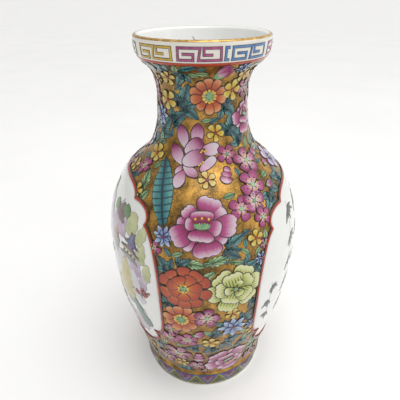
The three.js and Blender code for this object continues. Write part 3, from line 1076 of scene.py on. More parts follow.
# %% Key fret
FRET_UNITS = 9
FRET_FIRST = -86.7  # degrees, the grey-green unit
FRET_PATH = [(1.2, 3), (3.65, 3), (3.65, 0.5), (0.25, 0.5), (0.25, 5.5), (5.2, 5.5), (4.8, 0.5), (9.75, 0.5),
             (9.75, 5.5), (6, 5.5), (6, 2.7), (8, 2.7)]
FRET_WIDE = 22.9 * MM
FRET_STROKE = 1.45 * MM
fret_low, fret_high = (p.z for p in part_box("key_fret_band"))
fret_scale = np.array([FRET_WIDE / 10, (fret_high - fret_low - FRET_STROKE) / 5])
fret = Painting("key_fret", "fret_enamel", FRET_ENAMELS, keep_out=False)
FRET_OFFSETS = [1.0, 2.6, 0, 1.0, 0, -1.2, 0.8, 0, -0.6]  # degrees, the painter's slips
FRET_HOOK = [(-0.5, 0.5), (-1.4, 0.5), (-1.4, 5.5), (-0.5, 5.5)]
for unit in range(FRET_UNITS):
    line = (np.array(FRET_PATH) - (5, 3)) * fret_scale
    unit_angle = FRET_FIRST + 360 / FRET_UNITS * unit + FRET_OFFSETS[unit]
    if unit == 3:
        fret.stroke((np.array(FRET_HOOK) - (5, 3)) * fret_scale, FRET_STROKE, unit_angle,
                    (fret_low + fret_high) / 2, lift=0.12, rise=0.1, shade=0.5, material=3,
                    edge_width=0.42 * MM, step=1.2 * MM)
    fret.stroke(line, FRET_STROKE, unit_angle, (fret_low + fret_high) / 2,
                lift=0.12, rise=0.1, shade=0.5, material=unit % 5, edge_width=0.42 * MM, step=1.2 * MM)
fret.build("key_fret_band")

# %% The red line under the collar
mouth_line = Painting("mouth_line_stroke", "iron_red", [iron_red], keep_out=False)
middle = (mouth_line_low + mouth_line_high) / 2 - 0.4 * MM
round_there = math.pi * np.interp(middle, body.line[:, 1], body.line[:, 0])
mouth_line.stroke([(x, 0) for x in np.linspace(-round_there, round_there, 144, endpoint=False)],
                  mouth_line_high - mouth_line_low + 0.3 * MM, 0, middle, lift=0.08, rise=0.08,
                  edge_width=0.3 * MM)
mouth_line.build("mouth_line")

# %% Lappets
LAPPETS = 17
LAPPET_FIRST = -0.5
lappet_low, lappet_high = (p.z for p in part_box("lappet_band"))
lappet_low = max(lappet_low, 1.5 * MM)


def triangle_outline(per_side=5):
    corners = [(-0.5, 1), (0.5, 1), (0, 0)]
    return [tuple(np.array(a) + (np.array(b) - np.array(a)) * k / per_side)
            for a, b in zip(corners, corners[1:] + corners[:1]) for k in range(per_side)]


lappet_pad = PadShape(triangle_outline(), (0, 0.66), (1.0, 0.9, 0.5))
lappet_blue = line_enamel("lappet_blue", tone(30, 50, 126), tone(62, 90, 160), tone(16, 18, 48))
lappet_magenta = line_enamel("lappet_magenta", tone(112, 14, 70), tone(150, 40, 98), tone(46, 8, 30))
lappet_yellow = line_enamel("lappet_yellow", tone(136, 124, 14), tone(176, 162, 34), tone(62, 56, 18))
lappet_green = line_enamel("lappet_green", tone(24, 66, 34), tone(60, 100, 40), tone(16, 40, 24))
lappet_dark = line_enamel("lappet_dark", tone(26, 36, 40), tone(44, 70, 52), tone(14, 18, 22))
LAPPET_SETS = [
    [(1.0, 0), (0.66, 1), (0.5, 5), (0.4, 1), (0.2, 4)],
    [(1.0, 2), (0.74, 3), (0.54, 2), (0.42, 3), (0.26, 4)],
]
lappet_light = line_enamel("lappet_light", tone(178, 96, 134), tone(204, 140, 166), tone(120, 30, 80))
lappets = Painting("lappets", "lappet_enamel",
                   [lappet_blue, lappet_magenta, lappet_yellow, lappet_green, lappet_dark, lappet_light],
                   surface=foot, keep_out=False)
tall = lappet_high - lappet_low - 0.3 * MM
wide = math.tau * foot_radius / LAPPETS
for k in range(2 * LAPPETS):
    pointing_up = k % 2
    for layer, (size, material) in enumerate(LAPPET_SETS[pointing_up]):
        turn = 180 if pointing_up else 0
        root = -tall / 2 + tall * (1 - size) * 0.66
        lappets.pad(lappet_pad, 0, -root if pointing_up else root, turn, wide * size * 0.97, tall * size,
                    LAPPET_FIRST + k * 180 / LAPPETS, (lappet_low + lappet_high) / 2,
                    lift=0.08 + 0.06 * layer, rise=0.06, material=material, edge_width=0.45 * MM)
lappets.build("lappet_band")
# %% [markdown]
# ## Flowers
# The decorator knew a handful of flowers by heart and turned them every way. Small flowers are rings of
# equal petals round a heart. The large peony and the magnolia are drawn petal by petal, because their near
# petals curl over the heart and the far ones stand behind it. Petals come in layers, each a tenth of a
# millimetre over the last, and every petal has its drawn dark edge.

# %% Pieces that collect the flowers
FLOWER_SLOT = "flower_enamel"
PANEL_TOP = 170 * MM
HEART_ENAMELS = [mint, anther, ink_dot, rust_dot]
KINDS = {  # piece name and enamels
    "peony": ("peonies", [peony_pink, *HEART_ENAMELS]),
    "magnolia": ("magnolias", [magnolia_pink, *HEART_ENAMELS]),
    "plum": ("plum_blossoms", [plum_pink, *HEART_ENAMELS]),
    "orange": ("orange_flowers", [orange, *HEART_ENAMELS]),
    "aster": ("asters", [aster_red, *HEART_ENAMELS]),
    "lime": ("lime_peonies", [lime, *HEART_ENAMELS]),
    "blue": ("blue_flowers", [iris_blue, *HEART_ENAMELS]),
    "lavender": ("lavender_flowers", [lavender, *HEART_ENAMELS]),
    "yellow": ("yellow_flowers", [yellow, *HEART_ENAMELS]),
    "teal_leaf": ("teal_leaves", [teal_leaf]),
    "green_leaf": ("green_leaves", [green_leaf]),
    "ladder_leaf": ("ladder_leaves", [ladder_leaf]),
}
MINT, ANTHER, BLACK, RUST = 1, 2, 3, 4
paintings = {}


def painting_for(kind, angle, height):
    """The piece that a flower belongs to: its kind on the neck, the front or the back."""
    front = abs((angle + 180) % 360 - 180) < 90
    zone = "neck" if height > PANEL_TOP else "front" if front else "back"
    name, enamels = KINDS[kind]
    key = f"{name}_{zone}"
    if key not in paintings:
        paintings[key] = Painting(key, FLOWER_SLOT, enamels)
    return paintings[key]


# %% Flowers drawn petal by petal
# Each petal: shape, root x and y, tip x and y, all as shares of the radius, width, layer, shade, tint.
def from_heart(shape, around, root, tip, width, layer, shade=0.5, tint=0):
    x, y = direction(around)
    return shape, x * root, y * root, x * tip, y * tip, width, layer, shade, tint


def direction(degrees):
    return np.array([math.sin(math.radians(degrees)), math.cos(math.radians(degrees))])


DRAWN = {
    "peony": [
        from_heart(lobed_petal, 20, 0.30, 0.86, 0.78, 0, 0.5),
        from_heart(lobed_petal, -46, 0.28, 0.72, 0.50, 1, 0.6),
        from_heart(full_petal, -86, 0.28, 0.74, 0.40, 0, 0.2),
        from_heart(lobed_petal, -118, 0.34, 1.04, 0.70, 1, 0.4),
        from_heart(full_petal, -146, 0.40, 0.92, 0.36, 0, 0.7),
        from_heart(lobed_petal, 168, 0.42, 0.98, 0.92, 1, 0.45),
        from_heart(full_petal, 126, 0.40, 0.88, 0.36, 0, 0.6),
        from_heart(lobed_petal, 94, 0.34, 1.04, 0.70, 1, 0.6),
        from_heart(full_petal, 60, 0.30, 0.80, 0.46, 0, 0.85),
        from_heart(full_petal, 104, 0.10, 0.58, 0.50, 2, 0.45),
        from_heart(full_petal, -84, 0.10, 0.50, 0.42, 2, 0.4),
        from_heart(full_petal, 0, 0.02, 0.42, 0.74, 2, 0.25),
        from_heart(lobed_petal, 186, 0.12, 0.50, 0.80, 3, 0.7),
    ],
    "magnolia": [
        (petal_leaf, -0.29, 0.34, -0.48, 1.07, 0.42, 0, 0.5, 1),
        (petal_leaf, 0.03, 0.42, 0.10, 1.15, 0.44, 0, 0.5, 1),
        (petal_leaf, -0.38, -0.19, -0.72, 0.44, 0.46, 0, 0.5, 1),
        (full_petal, 0.19, 0.30, 0.78, 0.36, 0.46, 0, 0.8, 0),
        (full_petal, 0.21, -0.36, 0.66, 0.10, 0.36, 0, 0.7, 0),
        (full_petal, -0.30, 0.20, 0.22, 0.64, 0.46, 1, 0.5, 1),
        (full_petal, -0.36, -0.14, 0.30, 0.20, 0.56, 2, 0.4, 1),
        (petal_leaf, -0.38, -0.19, -0.55, -0.57, 0.24, 0, 0.5, 0),
        (petal_leaf, -0.34, -0.20, 0.18, -0.56, 0.36, 1, 0.5, 1),
        (petal_leaf, -0.29, -0.36, -0.50, -1.0, 0.42, 1, 0.5, 0),
    ],
}

# %% Flowers made of equal petals
# Each ring: petal shape, how many, root and tip as shares of the radius, width, layer.
RINGS = {
    "plum": [(round_petal, 5, 0.10, 1.0, 0.78, 0)],
    "orange": [(round_petal, 10, 0.24, 1.0, 0.57, 0)],
    "aster": [(round_petal, 10, 0.46, 1.0, 0.60, 0), (round_petal, 7, 0.16, 0.66, 0.54, 1)],
    "lime": [(lobed_petal, 6, 0.40, 1.04, 0.86, 0), (lobed_petal, 5, 0.12, 0.74, 0.74, 1),
             (full_petal, 3, 0.04, 0.42, 0.40, 2)],
    "blue": [(pointed_petal, 8, 0.10, 1.0, 0.52, 0), (pointed_petal, 5, 0.06, 0.62, 0.36, 1)],
    "lavender": [(full_petal, 6, 0.12, 1.0, 0.70, 0)],
    "yellow": [(round_petal, 5, 0.12, 1.0, 0.74, 0)],
}
HEARTS = {  # heart's size and enamel, then rings of dots: how many, distance, size, enamel
    "peony": (0.0, MINT, []),
    "magnolia": (0.0, MINT, []),
    "plum": (0.17, MINT, [(9, 0.36, 0.065, ANTHER), (10, 0.50, 0.05, BLACK)]),
    "orange": (0.26, MINT, [(12, 0.31, 0.08, ANTHER), (9, 0.41, 0.05, RUST), (6, 0.15, 0.05, BLACK)]),
    "aster": (0.14, MINT, [(10, 0.17, 0.05, ANTHER), (3, 0.1, 0.05, BLACK)]),
    "lime": (0.08, MINT, [(6, 0.12, 0.035, BLACK), (3, 0.16, 0.035, RUST)]),
    "blue": (0.13, RUST, []),
    "lavender": (0.14, MINT, [(6, 0.26, 0.05, BLACK)]),
    "yellow": (0.16, RUST, []),
}
LAYER = 0.1  # mm


def petal_from(target, shape, root, tip, width, layer, angle, height, lift, shade, tint, radius):
    leg = tip - root
    target.pad(shape, root[0], root[1], math.degrees(math.atan2(leg[0], leg[1])), width, np.hypot(*leg),
               angle, height * MM, lift=lift + LAYER * layer, rise=0.08, shade=shade, tint=tint,
               edge_width=(0.7 if radius > 9 else 0.56) * MM)


def flower(kind, angle, height, radius, turn=0.0, aside=(0.0, 0.0), lift=0.36, rng=None):
    """One flower: angle in degrees, height and radius in mm, its heart aside by a share of the radius."""
    rng = rng or random.Random(round(angle * 7 + height * 13))
    target = painting_for(kind, angle, height * MM)
    size = radius * MM
    right, up = direction(turn + 90), direction(turn)
    heart = (right * aside[0] + up * aside[1]) * size
    tint = float(rng.random() < 0.4)
    if kind in DRAWN:
        for n, (shape, x0, y0, x1, y1, width, layer, shade, petal_tint) in enumerate(DRAWN[kind]):
            root, tip = (right * x0 + up * y0) * size, (right * x1 + up * y1) * size
            petal_from(target, shape, heart + root, heart * 0.3 + tip, width * size, layer + 0.3 * (n % 2),
                       angle, height, lift, shade, petal_tint, radius)
    for shape, count, root, tip, width, layer in RINGS.get(kind, []):
        for k in range(count):
            around = turn + 360 * (k + 0.5 * (layer % 2)) / count + rng.uniform(-5, 5)
            start = heart + direction(around) * size * root * (1 - 0.4 * np.hypot(*aside))
            end = heart * (0.5 if layer else 0.25) + direction(around) * size * tip * rng.uniform(0.92, 1.06)
            step = 2 if count % 2 and k == count - 1 else k % 2
            petal_from(target, shape, start, end, width * size * rng.uniform(0.92, 1.08), 2 * layer + step,
                       angle, height, lift, rng.uniform(0.25, 0.75), tint, radius)
    core, core_enamel, dot_rings = HEARTS[kind]
    top = lift + LAYER * (2 * len(RINGS.get(kind, [1, 1])) + 0.8)
    if core:
        target.pad(disc, heart[0], heart[1] - core * size, 0, 2 * core * size, 2 * core * size, angle,
                   height * MM,
                   lift=top, rise=0.12, shade=rng.random(), material=core_enamel, edge_width=0.25 * MM)
    for dots, distance, dot_size, enamel in dot_rings:
        for k in range(dots):
            at = heart + direction(turn + 360 * k / dots + rng.uniform(-6, 6)) * size * distance
            half = max(dot_size * size, 0.22 * MM)
            target.pad(dot, at[0], at[1] - half, 0, 2 * half, 2 * half, angle, height * MM,
                       lift=top + 0.05, rise=0.08, shade=rng.random(), material=enamel, edge_width=0.1 * MM)
    if kind == "peony":
        pistil(target, heart, size, turn, angle, height, top)
    if kind == "magnolia":
        stamens(target, heart, size, turn, angle, height, top)


def pistil(target, heart, size, turn, angle, height, top):
    """Green pads with jagged tops in the peony's cup, and a low arc of stamens behind them."""
    right, up = direction(turn + 90), direction(turn)
    for k in range(7):
        off = (k - 3) / 3
        at = heart + (right * off * 0.155 - up * 0.13 * (1 - 0.3 * off**2)) * size
        target.pad(slim_leaf, at[0], at[1], turn + off * 22, 0.10 * size, 0.22 * (1 - 0.3 * off**2) * size,
                   angle, height * MM, lift=top + 0.1, rise=0.1, shade=0.3 + 0.1 * (k % 3), material=MINT,
                   edge_width=0.2 * MM)
    for k in range(9):
        off = (k - 4) / 4
        at = heart + (right * off * 0.25 + up * (0.20 - 0.10 * off**2 + 0.03 * (k % 2))) * size
        half = 0.036 * size
        target.pad(dot, at[0], at[1] - half, 0, 2 * half, 2.4 * half, angle, height * MM, lift=top + 0.06,
                   rise=0.08,
                   shade=0.3 + 0.1 * (k % 4), material=(RUST, ANTHER, RUST)[k % 3], edge_width=0.1 * MM)


def stamens(target, heart, size, turn, angle, height, top):
    """Yellow and black dots beside the magnolia's folded middle."""
    for k, (x, y) in enumerate(((0.24, 0.30), (0.31, 0.27), (0.28, 0.34), (0.20, 0.25), (0.36, 0.31),
                                (0.22, -0.12), (0.28, -0.06), (0.17, -0.17))):
        at = heart + (direction(turn + 90) * x + direction(turn) * y) * size
        half = 0.034 * size
        target.pad(dot, at[0], at[1] - half, 0, 2 * half, 2 * half, angle, height * MM, lift=top + 0.02,
                   rise=0.08, shade=0.6, material=BLACK if k == 2 else ANTHER, edge_width=0.1 * MM)


# %% Leaves, sprays and buds


def leaf(kind, angle, height, long, turn=0.0, width=0.5, lift=0.1, saw=False, shade=0.5):
    """A leaf about its own middle. long and height in mm, width as a share of its length."""
    target = painting_for(kind, angle, height * MM)
    start = -direction(turn) * long * MM / 2
    target.pad(saw_leaf if saw else slim_leaf, start[0], start[1], turn, long * width * MM, long * MM, angle,
               height * MM, lift=lift, rise=0.09, shade=shade, edge_width=(0.5 if long > 7 else 0.38) * MM)


def leaf_spray(kind, angle, height, long, turn=0.0, count=3, spread=110, width=0.6, lift=0.1, saw=True):
    """Leaves that fan out from one root, the middle one longest."""
    rng = random.Random(round(angle * 11 + height * 5))
    target = painting_for(kind, angle, height * MM)
    start = -direction(turn) * long * 0.42 * MM
    for k in range(count):
        share = (k / (count - 1) - 0.5) * 2 if count > 1 else 0
        size = long * (1 - 0.24 * abs(share)) * rng.uniform(0.92, 1.06)
        target.pad(saw_leaf if saw else slim_leaf, start[0], start[1], turn + share * spread / 2,
                   size * width * MM,
                   size * MM, angle, height * MM, lift=lift + 0.09 * (2 * k % 3), rise=0.07,
                   shade=rng.uniform(0.2, 0.8), edge_width=(0.5 if long > 7 else 0.38) * MM)


def bud(kind, angle, height, radius, turn=0.0, petals=3, lift=0.32):
    """A closed flower: petals that overlap on one root, with a green cup."""
    target = painting_for(kind, angle, height * MM)
    size = radius * MM
    for k in range(petals):
        share = (k - (petals - 1) / 2) * (60 / petals)
        start = -direction(turn) * size * 0.8
        target.pad(full_petal, start[0], start[1], turn + share, size * 0.9, size * (1.7 - 0.12 * k), angle,
                   height * MM, lift=lift + 0.06 * k, rise=0.16, shade=0.3 + 0.2 * k, tint=k % 2)
    start = -direction(turn) * size
    for share in (-32, 32):
        target.pad(slim_leaf, start[0], start[1], turn + share, size * 0.34, size * 0.8, angle, height * MM,
                   lift=lift + 0.2, rise=0.1, material=MINT)


def lobed_chain(angle, height, radius, turn=0.0, count=3, lift=0.32):
    """Rounded lobes stacked along a line, as a bud of folded petals seen from its side."""
    target = painting_for("plum", angle, height * MM)
    size = radius * MM
    for k in range(count):
        start = direction(turn) * size * (-1 + 0.62 * k)
        target.pad(full_petal, start[0], start[1], turn, size * (1.5 - 0.3 * k), size * 0.95, angle,
                   height * MM, lift=lift + 0.07 * (count - k), rise=0.18, shade=0.5, tint=k % 2)


print("flower kinds:", ", ".join(KINDS))
# %% [markdown]
# ## The flower ground, front
# Large flowers are placed first, by angle round the vase and height up it, and smaller ones and leaves fill
# in between. The numbers are a decorator's plan: which flower, where, how big and how turned.

# %% Neck and shoulder, front
FRONT_FLOWERS = [  # kind, angle, height, radius, turn, aside
    ("orange", 2, 221, 10.5, 0, (0.05, -0.05)),
    ("yellow", -43, 230, 5.0, 10, (0, 0)),
    ("yellow", -49, 217, 6.2, 40, (0, 0)),
    ("yellow", 31, 223, 6.2, 20, (0, 0)),
    ("yellow", 43, 231, 5.0, 0, (0, 0)),
    ("yellow", 10, 200, 5.4, 30, (0, 0)),
    ("yellow", -58, 185, 6.4, 15, (0, 0)),
    ("yellow", -1, 177, 5.6, 50, (0, 0)),
    ("yellow", -77, 175, 5.0, 0, (0, 0)),
    ("peony", 58, 207, 12.0, 20, (-0.1, 0)),
    ("magnolia", -13, 185.5, 18.5, 0, (0, 0)),
    ("plum", 41, 182, 9.2, 8, (0, 0)),
    ("plum", 33, 172, 9.6, 40, (0, 0)),
    ("plum", 29, 165, 7.8, 10, (0, 0)),
    ("plum", 19, 163, 7.8, 20, (0, 0)),
    ("plum", 32, 156, 6.4, 60, (0, 0)),
    ("plum", 21, 187.5, 6.4, 30, (0, 0)),
    ("lavender", 78, 176, 9.3, 10, (0, 0)),
    ("blue", -64, 207, 7.0, 0, (0, 0)),
]
FRONT_LEAVES = [  # kind, angle, height, length, turn, width, saw
    ("teal_leaf", -18, 236, 12, 70, 0.42, False),
    ("teal_leaf", -26, 219, 15, 20, 0.6, True),
    ("teal_leaf", -20, 212, 13, 130, 0.5, True),
    ("teal_leaf", -55, 201, 14, 40, 0.6, True),
    ("teal_leaf", 31, 203, 15, 10, 0.6, True),
    ("teal_leaf", 38, 196, 13, -40, 0.55, True),
    ("green_leaf", -13, 232, 7, 110, 0.45, False),
    ("ladder_leaf", -33, 171, 43, -18, 0.32, False),
    ("green_leaf", -51, 173, 15, -20, 0.5, True),
    ("green_leaf", -46, 166, 11, 30, 0.5, True),
    ("teal_leaf", 18, 236, 10, -60, 0.4, False),
    ("green_leaf", 0, 207, 7, 80, 0.4, False),
    ("green_leaf", 62, 192, 9, 30, 0.4, False),
    ("teal_leaf", 68, 208, 14, 10, 0.5, True),
    ("teal_leaf", -72, 192, 13, 60, 0.5, True),
]
# %% Belly and lower body, front
FRONT_FLOWERS += [
    ("peony", -5, 157, 19.6, 0, (0, 0)),
    ("blue", -26, 149, 7.2, 10, (0, 0)),
    ("yellow", 25, 146, 5.6, 0, (0, 0)),
    ("aster", -14, 117, 16.2, 0, (-0.05, 0.0)),
    ("lime", 12.5, 114.5, 17.4, 20, (0.0, 0.05)),
    ("orange", -17, 89.5, 13.2, 25, (0, 0)),
    ("plum", -2.5, 92, 9.2, 15, (0, 0)),
    ("blue", 13.5, 79.5, 10.6, 0, (0, 0)),
    ("blue", 26, 77, 5.4, 20, (0, 0)),
    ("plum", -27, 66, 7.6, 30, (0, 0)),
    ("plum", -14.5, 67, 7.8, 0, (0, 0)),
    ("plum", -23, 45, 10.5, 20, (0, 0)),
    ("plum", -24, 77, 5.6, 50, (0, 0)),
    ("yellow", 0, 64, 6.2, 15, (0, 0)),
    ("peony", 16, 34, 17.5, 150, (0, 0)),
    ("plum", -36, 33, 8.0, 10, (0, 0)),
    ("plum", -10, 29, 6.5, 45, (0, 0)),
    ("yellow", -52, 38, 5.5, 0, (0, 0)),
    ("orange", -66, 32, 8.5, 0, (0, 0)),
    ("yellow", 48, 34, 5.6, 0, (0, 0)),
    ("lavender", 62, 34, 7.8, 0, (0, 0)),
]
FRONT_LEAVES += [
    ("teal_leaf", 12, 147, 14, 60, 0.5, True),
    ("teal_leaf", 10, 140, 12, 120, 0.5, True),
    ("green_leaf", -29, 158, 8, 20, 0.45, False),
    ("green_leaf", -18, 140, 8, 70, 0.45, False),
    ("green_leaf", 18, 140, 8, -50, 0.45, False),
    ("green_leaf", 26, 138, 8, 40, 0.45, False),
    ("teal_leaf", -25, 132, 12, -40, 0.55, True),
    ("teal_leaf", -15, 135, 10, 60, 0.5, True),
    ("teal_leaf", 20, 130, 13, 75, 0.5, True),
    ("teal_leaf", 25, 126, 12, 140, 0.5, True),
    ("teal_leaf", -22, 104, 14, 20, 0.55, True),
    ("teal_leaf", -27, 112, 12, -30, 0.5, True),
    ("green_leaf", -2, 126.5, 11, 55, 0.5, False),
    ("teal_leaf", 3, 75, 11, 10, 0.5, True),
    ("teal_leaf", 16, 66, 11, 80, 0.5, True),
    ("teal_leaf", 12, 59, 12, 150, 0.5, True),
    ("teal_leaf", 6, 84, 10, -60, 0.5, True),
    ("teal_leaf", 22, 88, 12, 40, 0.5, True),
]
for kind, angle, height, radius, turn, aside in FRONT_FLOWERS:
    flower(kind, angle, height, radius, turn, aside)
for kind, angle, height, long, turn, width, saw in FRONT_LEAVES:
    if saw and kind == "teal_leaf":
        leaf_spray(kind, angle, height, long, turn, 3, 96, width)
    else:
        leaf(kind, angle, height, long, turn, width, saw=saw, lift=0.3 if kind == "ladder_leaf" else 0.1)
leaf("green_leaf", -9, 134.5, 15, 100, 0.5, saw=True)
leaf("green_leaf", 3, 136.5, 18, 75, 0.42, lift=0.2, saw=True)
leaf("green_leaf", 13, 134, 12, 105, 0.34, saw=True)
leaf_spray("green_leaf", 35, 46, 13, -20, 6, 110, 0.24, saw=False)
bud("plum", 16, 234, 6.5, 40)
bud("plum", -7, 74, 4.6, 70)
bud("plum", 58, 184, 3.4, 20)
bud("plum", 62, 177, 3.4, 60)
bud("plum", 48, 169, 3.4, 90)
lobed_chain(15, 178, 5.2, 20)
lobed_chain(-8, 42, 6.0, 0)
placed = [(angle, height, radius) for _, angle, height, radius, *_ in FRONT_FLOWERS]
placed += [(angle, height, long * 0.36) for _, angle, height, long, *_ in FRONT_LEAVES]
placed += [(-9, 134.5, 6), (1, 137, 7), (13, 134, 4), (35, 46, 6), (16, 234, 6), (-7, 74, 4), (15, 178, 5),
           (-8, 42, 6)]
placed += [(-20, 201, 6), (-8, 203, 7), (2, 192, 6), (-33, 185, 6), (-33, 158, 6)]
print("placed by hand:", len(placed))

# %% [markdown]
# ## The flower ground, back
# The back has the same flowers in another order, as a decorator repeats a pattern without measuring it.

# %% Back
BACK_FLOWERS = [
    ("peony", 186, 152, 19.0, -30, (0, 0)),
    ("orange", 172, 120, 13.5, 10, (0, 0)),
    ("magnolia", 196, 112, 15.0, 60, (0, 0)),
    ("lime", 166, 92, 12.0, 0, (0, 0)),
    ("aster", 190, 82, 13.0, 20, (0, 0)),
    ("peony", 176, 48, 16.0, 10, (0.1, 0)),
    ("blue", 164, 146, 8.0, 0, (0, 0)),
    ("blue", 202, 64, 8.0, 0, (0, 0)),
    ("plum", 204, 136, 7.6, 20, (0, 0)),
    ("plum", 160, 66, 7.4, 0, (0, 0)),
    ("aster", 168, 186, 13.5, 0, (0, 0)),
    ("magnolia", 200, 188, 15.0, 160, (0, 0)),
    ("peony", 232, 180, 15.0, 20, (0, 0)),
    ("lime", 128, 184, 13.0, 0, (0, 0)),
    ("orange", 184, 219, 9.5, 0, (0, 0)),
    ("plum", 150, 214, 7.0, 20, (0, 0)),
    ("blue", 222, 214, 7.5, 0, (0, 0)),
    ("peony", 256, 212, 9.0, 0, (0, 0)),
    ("lavender", 104, 186, 9.0, 0, (0, 0)),
    ("aster", 214, 36, 11.0, 0, (0, 0)),
    ("lime", 138, 36, 11.0, 0, (0, 0)),
    ("peony", 246, 33, 11.5, 0, (0, 0)),
    ("magnolia", 104, 34, 11.0, 0, (0, 0)),
    ("orange", 84, 31, 8.5, 0, (0, 0)),
    ("magnolia", -92, 188, 11.0, 0, (0, 0)),
    ("orange", 94, 218, 8.0, 0, (0, 0)),
    ("plum", -78, 224, 6.5, 0, (0, 0)),
]
for kind, angle, height, radius, turn, aside in BACK_FLOWERS:
    flower(kind, angle, height, radius, turn, aside)
placed += [(angle, height, radius) for _, angle, height, radius, *_ in BACK_FLOWERS]
print("placed on the back:", len(BACK_FLOWERS))

# %% [markdown]
# ## Filling in
# Between the placed flowers the ground is filled with small blossoms and leaves. Places are tried at random
# from a fixed seed, larger ones first, and each is kept only where it hardly overlaps what is there
# already.

# %% Fill the gaps
fill = random.Random(41)


def gap_at(angle, height):
    """How far a place is from the nearest edge of anything placed, in mm."""
    radius = np.interp(body.way_at(height * MM), body.way, body.line[:, 0]) / MM
    way = body.way_at(height * MM) / MM
    nearest = 99.0
    for other_angle, other_height, other_radius in placed:
        across = math.radians((angle - other_angle + 180) % 360 - 180) * radius
        up = way - body.way_at(other_height * MM) / MM
        nearest = min(nearest, math.hypot(across, up) - other_radius)
    return nearest


FILLERS = [  # kind, radius, tries
    ("teal_leaf", 6.4, 700), ("plum", 6.0, 500), ("yellow", 5.2, 400), ("blue", 5.2, 400),
    ("teal_leaf", 5.2, 1600),
    ("orange", 4.8, 300), ("green_leaf", 4.4, 1600), ("plum", 3.8, 700), ("yellow", 3.4, 700),
    ("green_leaf", 3.0, 2600), ("teal_leaf", 2.4, 2600),
]
for kind, radius, tries in FILLERS:
    kept = 0
    for _ in range(tries):
        angle, height = fill.uniform(-180, 180), fill.uniform(22, 236)
        if bare_panel(angle, height * MM, 0.5) or gap_at(angle, height) < radius * 0.52:
            continue
        turn = fill.uniform(0, 360)
        if kind.endswith("leaf"):
            if radius > 4:
                leaf_spray(kind, angle, height, radius * 1.9, turn)
            else:
                leaf(kind, angle, height, radius * 2.7, turn, 0.5, shade=fill.uniform(0.2, 0.8))
        else:
            flower(kind, angle, height, radius, turn, rng=fill)
        placed.append((angle, height, radius))
        kept += 1
    print(kind, radius, "mm:", kept)

# %% Build every flower piece
for painting in paintings.values():
    painting.build()
# %% [markdown]
# ## White panels and their frames
# The panels are left white under clear glaze, so here each is a thin white coat over the gold. A pad would
# be too coarse for a shape that bends this far round the belly, so its top is drawn in by many rings, which
# gives it a face every few millimetres. The frame is one red stroke along the same outline, and a dark line
# inside it.

# %% White panels
PANEL_LIFT = 0.16  # mm
PANEL_RINGS = (1.0, *(round(1 - k / 26, 3) for k in range(1, 26)))
unit_outline = panel_outline() / 100 - (0, PANEL_MIDDLE / 100)
panel_shape = PadShape(unit_outline, (0, 0), PANEL_RINGS)


def panel_white_paint(shader):
    cloud = shader.noise(30, 2)
    wave = shader.noise(70, 2)
    return {
        "Base Color": cloud.ramp([(0.3, (0.68, 0.685, 0.67)), (0.7, (0.74, 0.74, 0.72))]),
        "Roughness": wave * 0.06 + 0.06,
        "Normal": bumped(shader, wave, 0.12, 0.4 * MM),
    }


panel_white = finish_of("panel_white", panel_white_paint, coat=0.6, coat_roughness=0.02)


def on_panel(flat_mm, side):
    """Flat panel places (arc at the belly, height above its middle) as ways and turns."""
    facing, drop = PANEL_SIDES[side]
    height = (flat_mm[:, 1] + PANEL_MIDDLE - drop) * MM
    return body.way_at(height), math.radians(facing) + flat_mm[:, 0] / BELLY_MM


class PanelSurface:
    """The wall inside a panel, with places measured flat from the panel's middle."""

    def __init__(self, side):
        self.side = side

    def spots(self, flat, angle, height):
        return on_panel(flat / MM, self.side)

    def raised(self, way, turn, lift):
        return body.raised(way, turn, lift)


panel_surfaces = {side: PanelSurface(side) for side in PANEL_SIDES}
for side in PANEL_SIDES:
    panel = Painting(side + "_white_panel", "panel_glaze", [panel_white], panel_surfaces[side],
                     keep_out=False)
    flat = panel_shape.reach * panel_shape.ring[:, None] * 100 * MM
    lifts = np.where(panel_shape.level == 0, 0.0, PANEL_LIFT) * MM
    panel.add(flat, lifts, panel_shape.faces, np.zeros(len(flat)), flat / (150 * MM) + 0.5, 0, 0, 0.5, 0.0, 0)
    panel.build(side + "_painted_panel")

# %% Panel frames
for side in PANEL_SIDES:
    frame_stroke = Painting(side + "_frame_line", "iron_red", [iron_red, brown_line], panel_surfaces[side],
                            keep_out=False)
    red_line = (panel_outline(0.4) - (0, PANEL_MIDDLE)) * MM
    dark_line = (panel_outline(1.25) - (0, PANEL_MIDDLE)) * MM
    frame_stroke.stroke(red_line, 1.15 * MM, 0, 0, lift=0.72, rise=0.08, closed=True, edge_width=0.2 * MM)
    frame_stroke.stroke(dark_line, 0.75 * MM, 0, 0, lift=0.66, rise=0.06, closed=True, material=1)
    frame_stroke.build(side + "_panel_frame")
# %% [markdown]
# ## The left panel's landscape
# The left panel holds a small mountain scene in thin enamels. It is built from plain masses, as a painter
# blocks them in: crags and hills first, then trees, a pavilion's roofs, and a shore. Each mass is a low pad
# with a brushed colour and a thin drawn edge. Places are flat on the panel, in mm from its middle.

# %% Landscape enamels


def wash_enamel(name, dark, light, line, edge_strength=0.7, scale=160):
    """A thin wash with cloudy tone and a faint drawn edge."""

    def paint(shader):
        along, edge, shade = pad_places(shader)[2:5]
        cloud = shader.noise(scale, 4, 0.6)
        tone_run = cloud * 0.75 + along * 0.2 + (shade - 0.5) * 0.4
        colour = tone_run.ramp([(0.3, dark), (0.62, light)])
        return gloss(shader, (edge.steps_up(0.3, 0.8) * edge_strength).mix(colour, line))

    return finish_of(name, paint, coat=0.6)


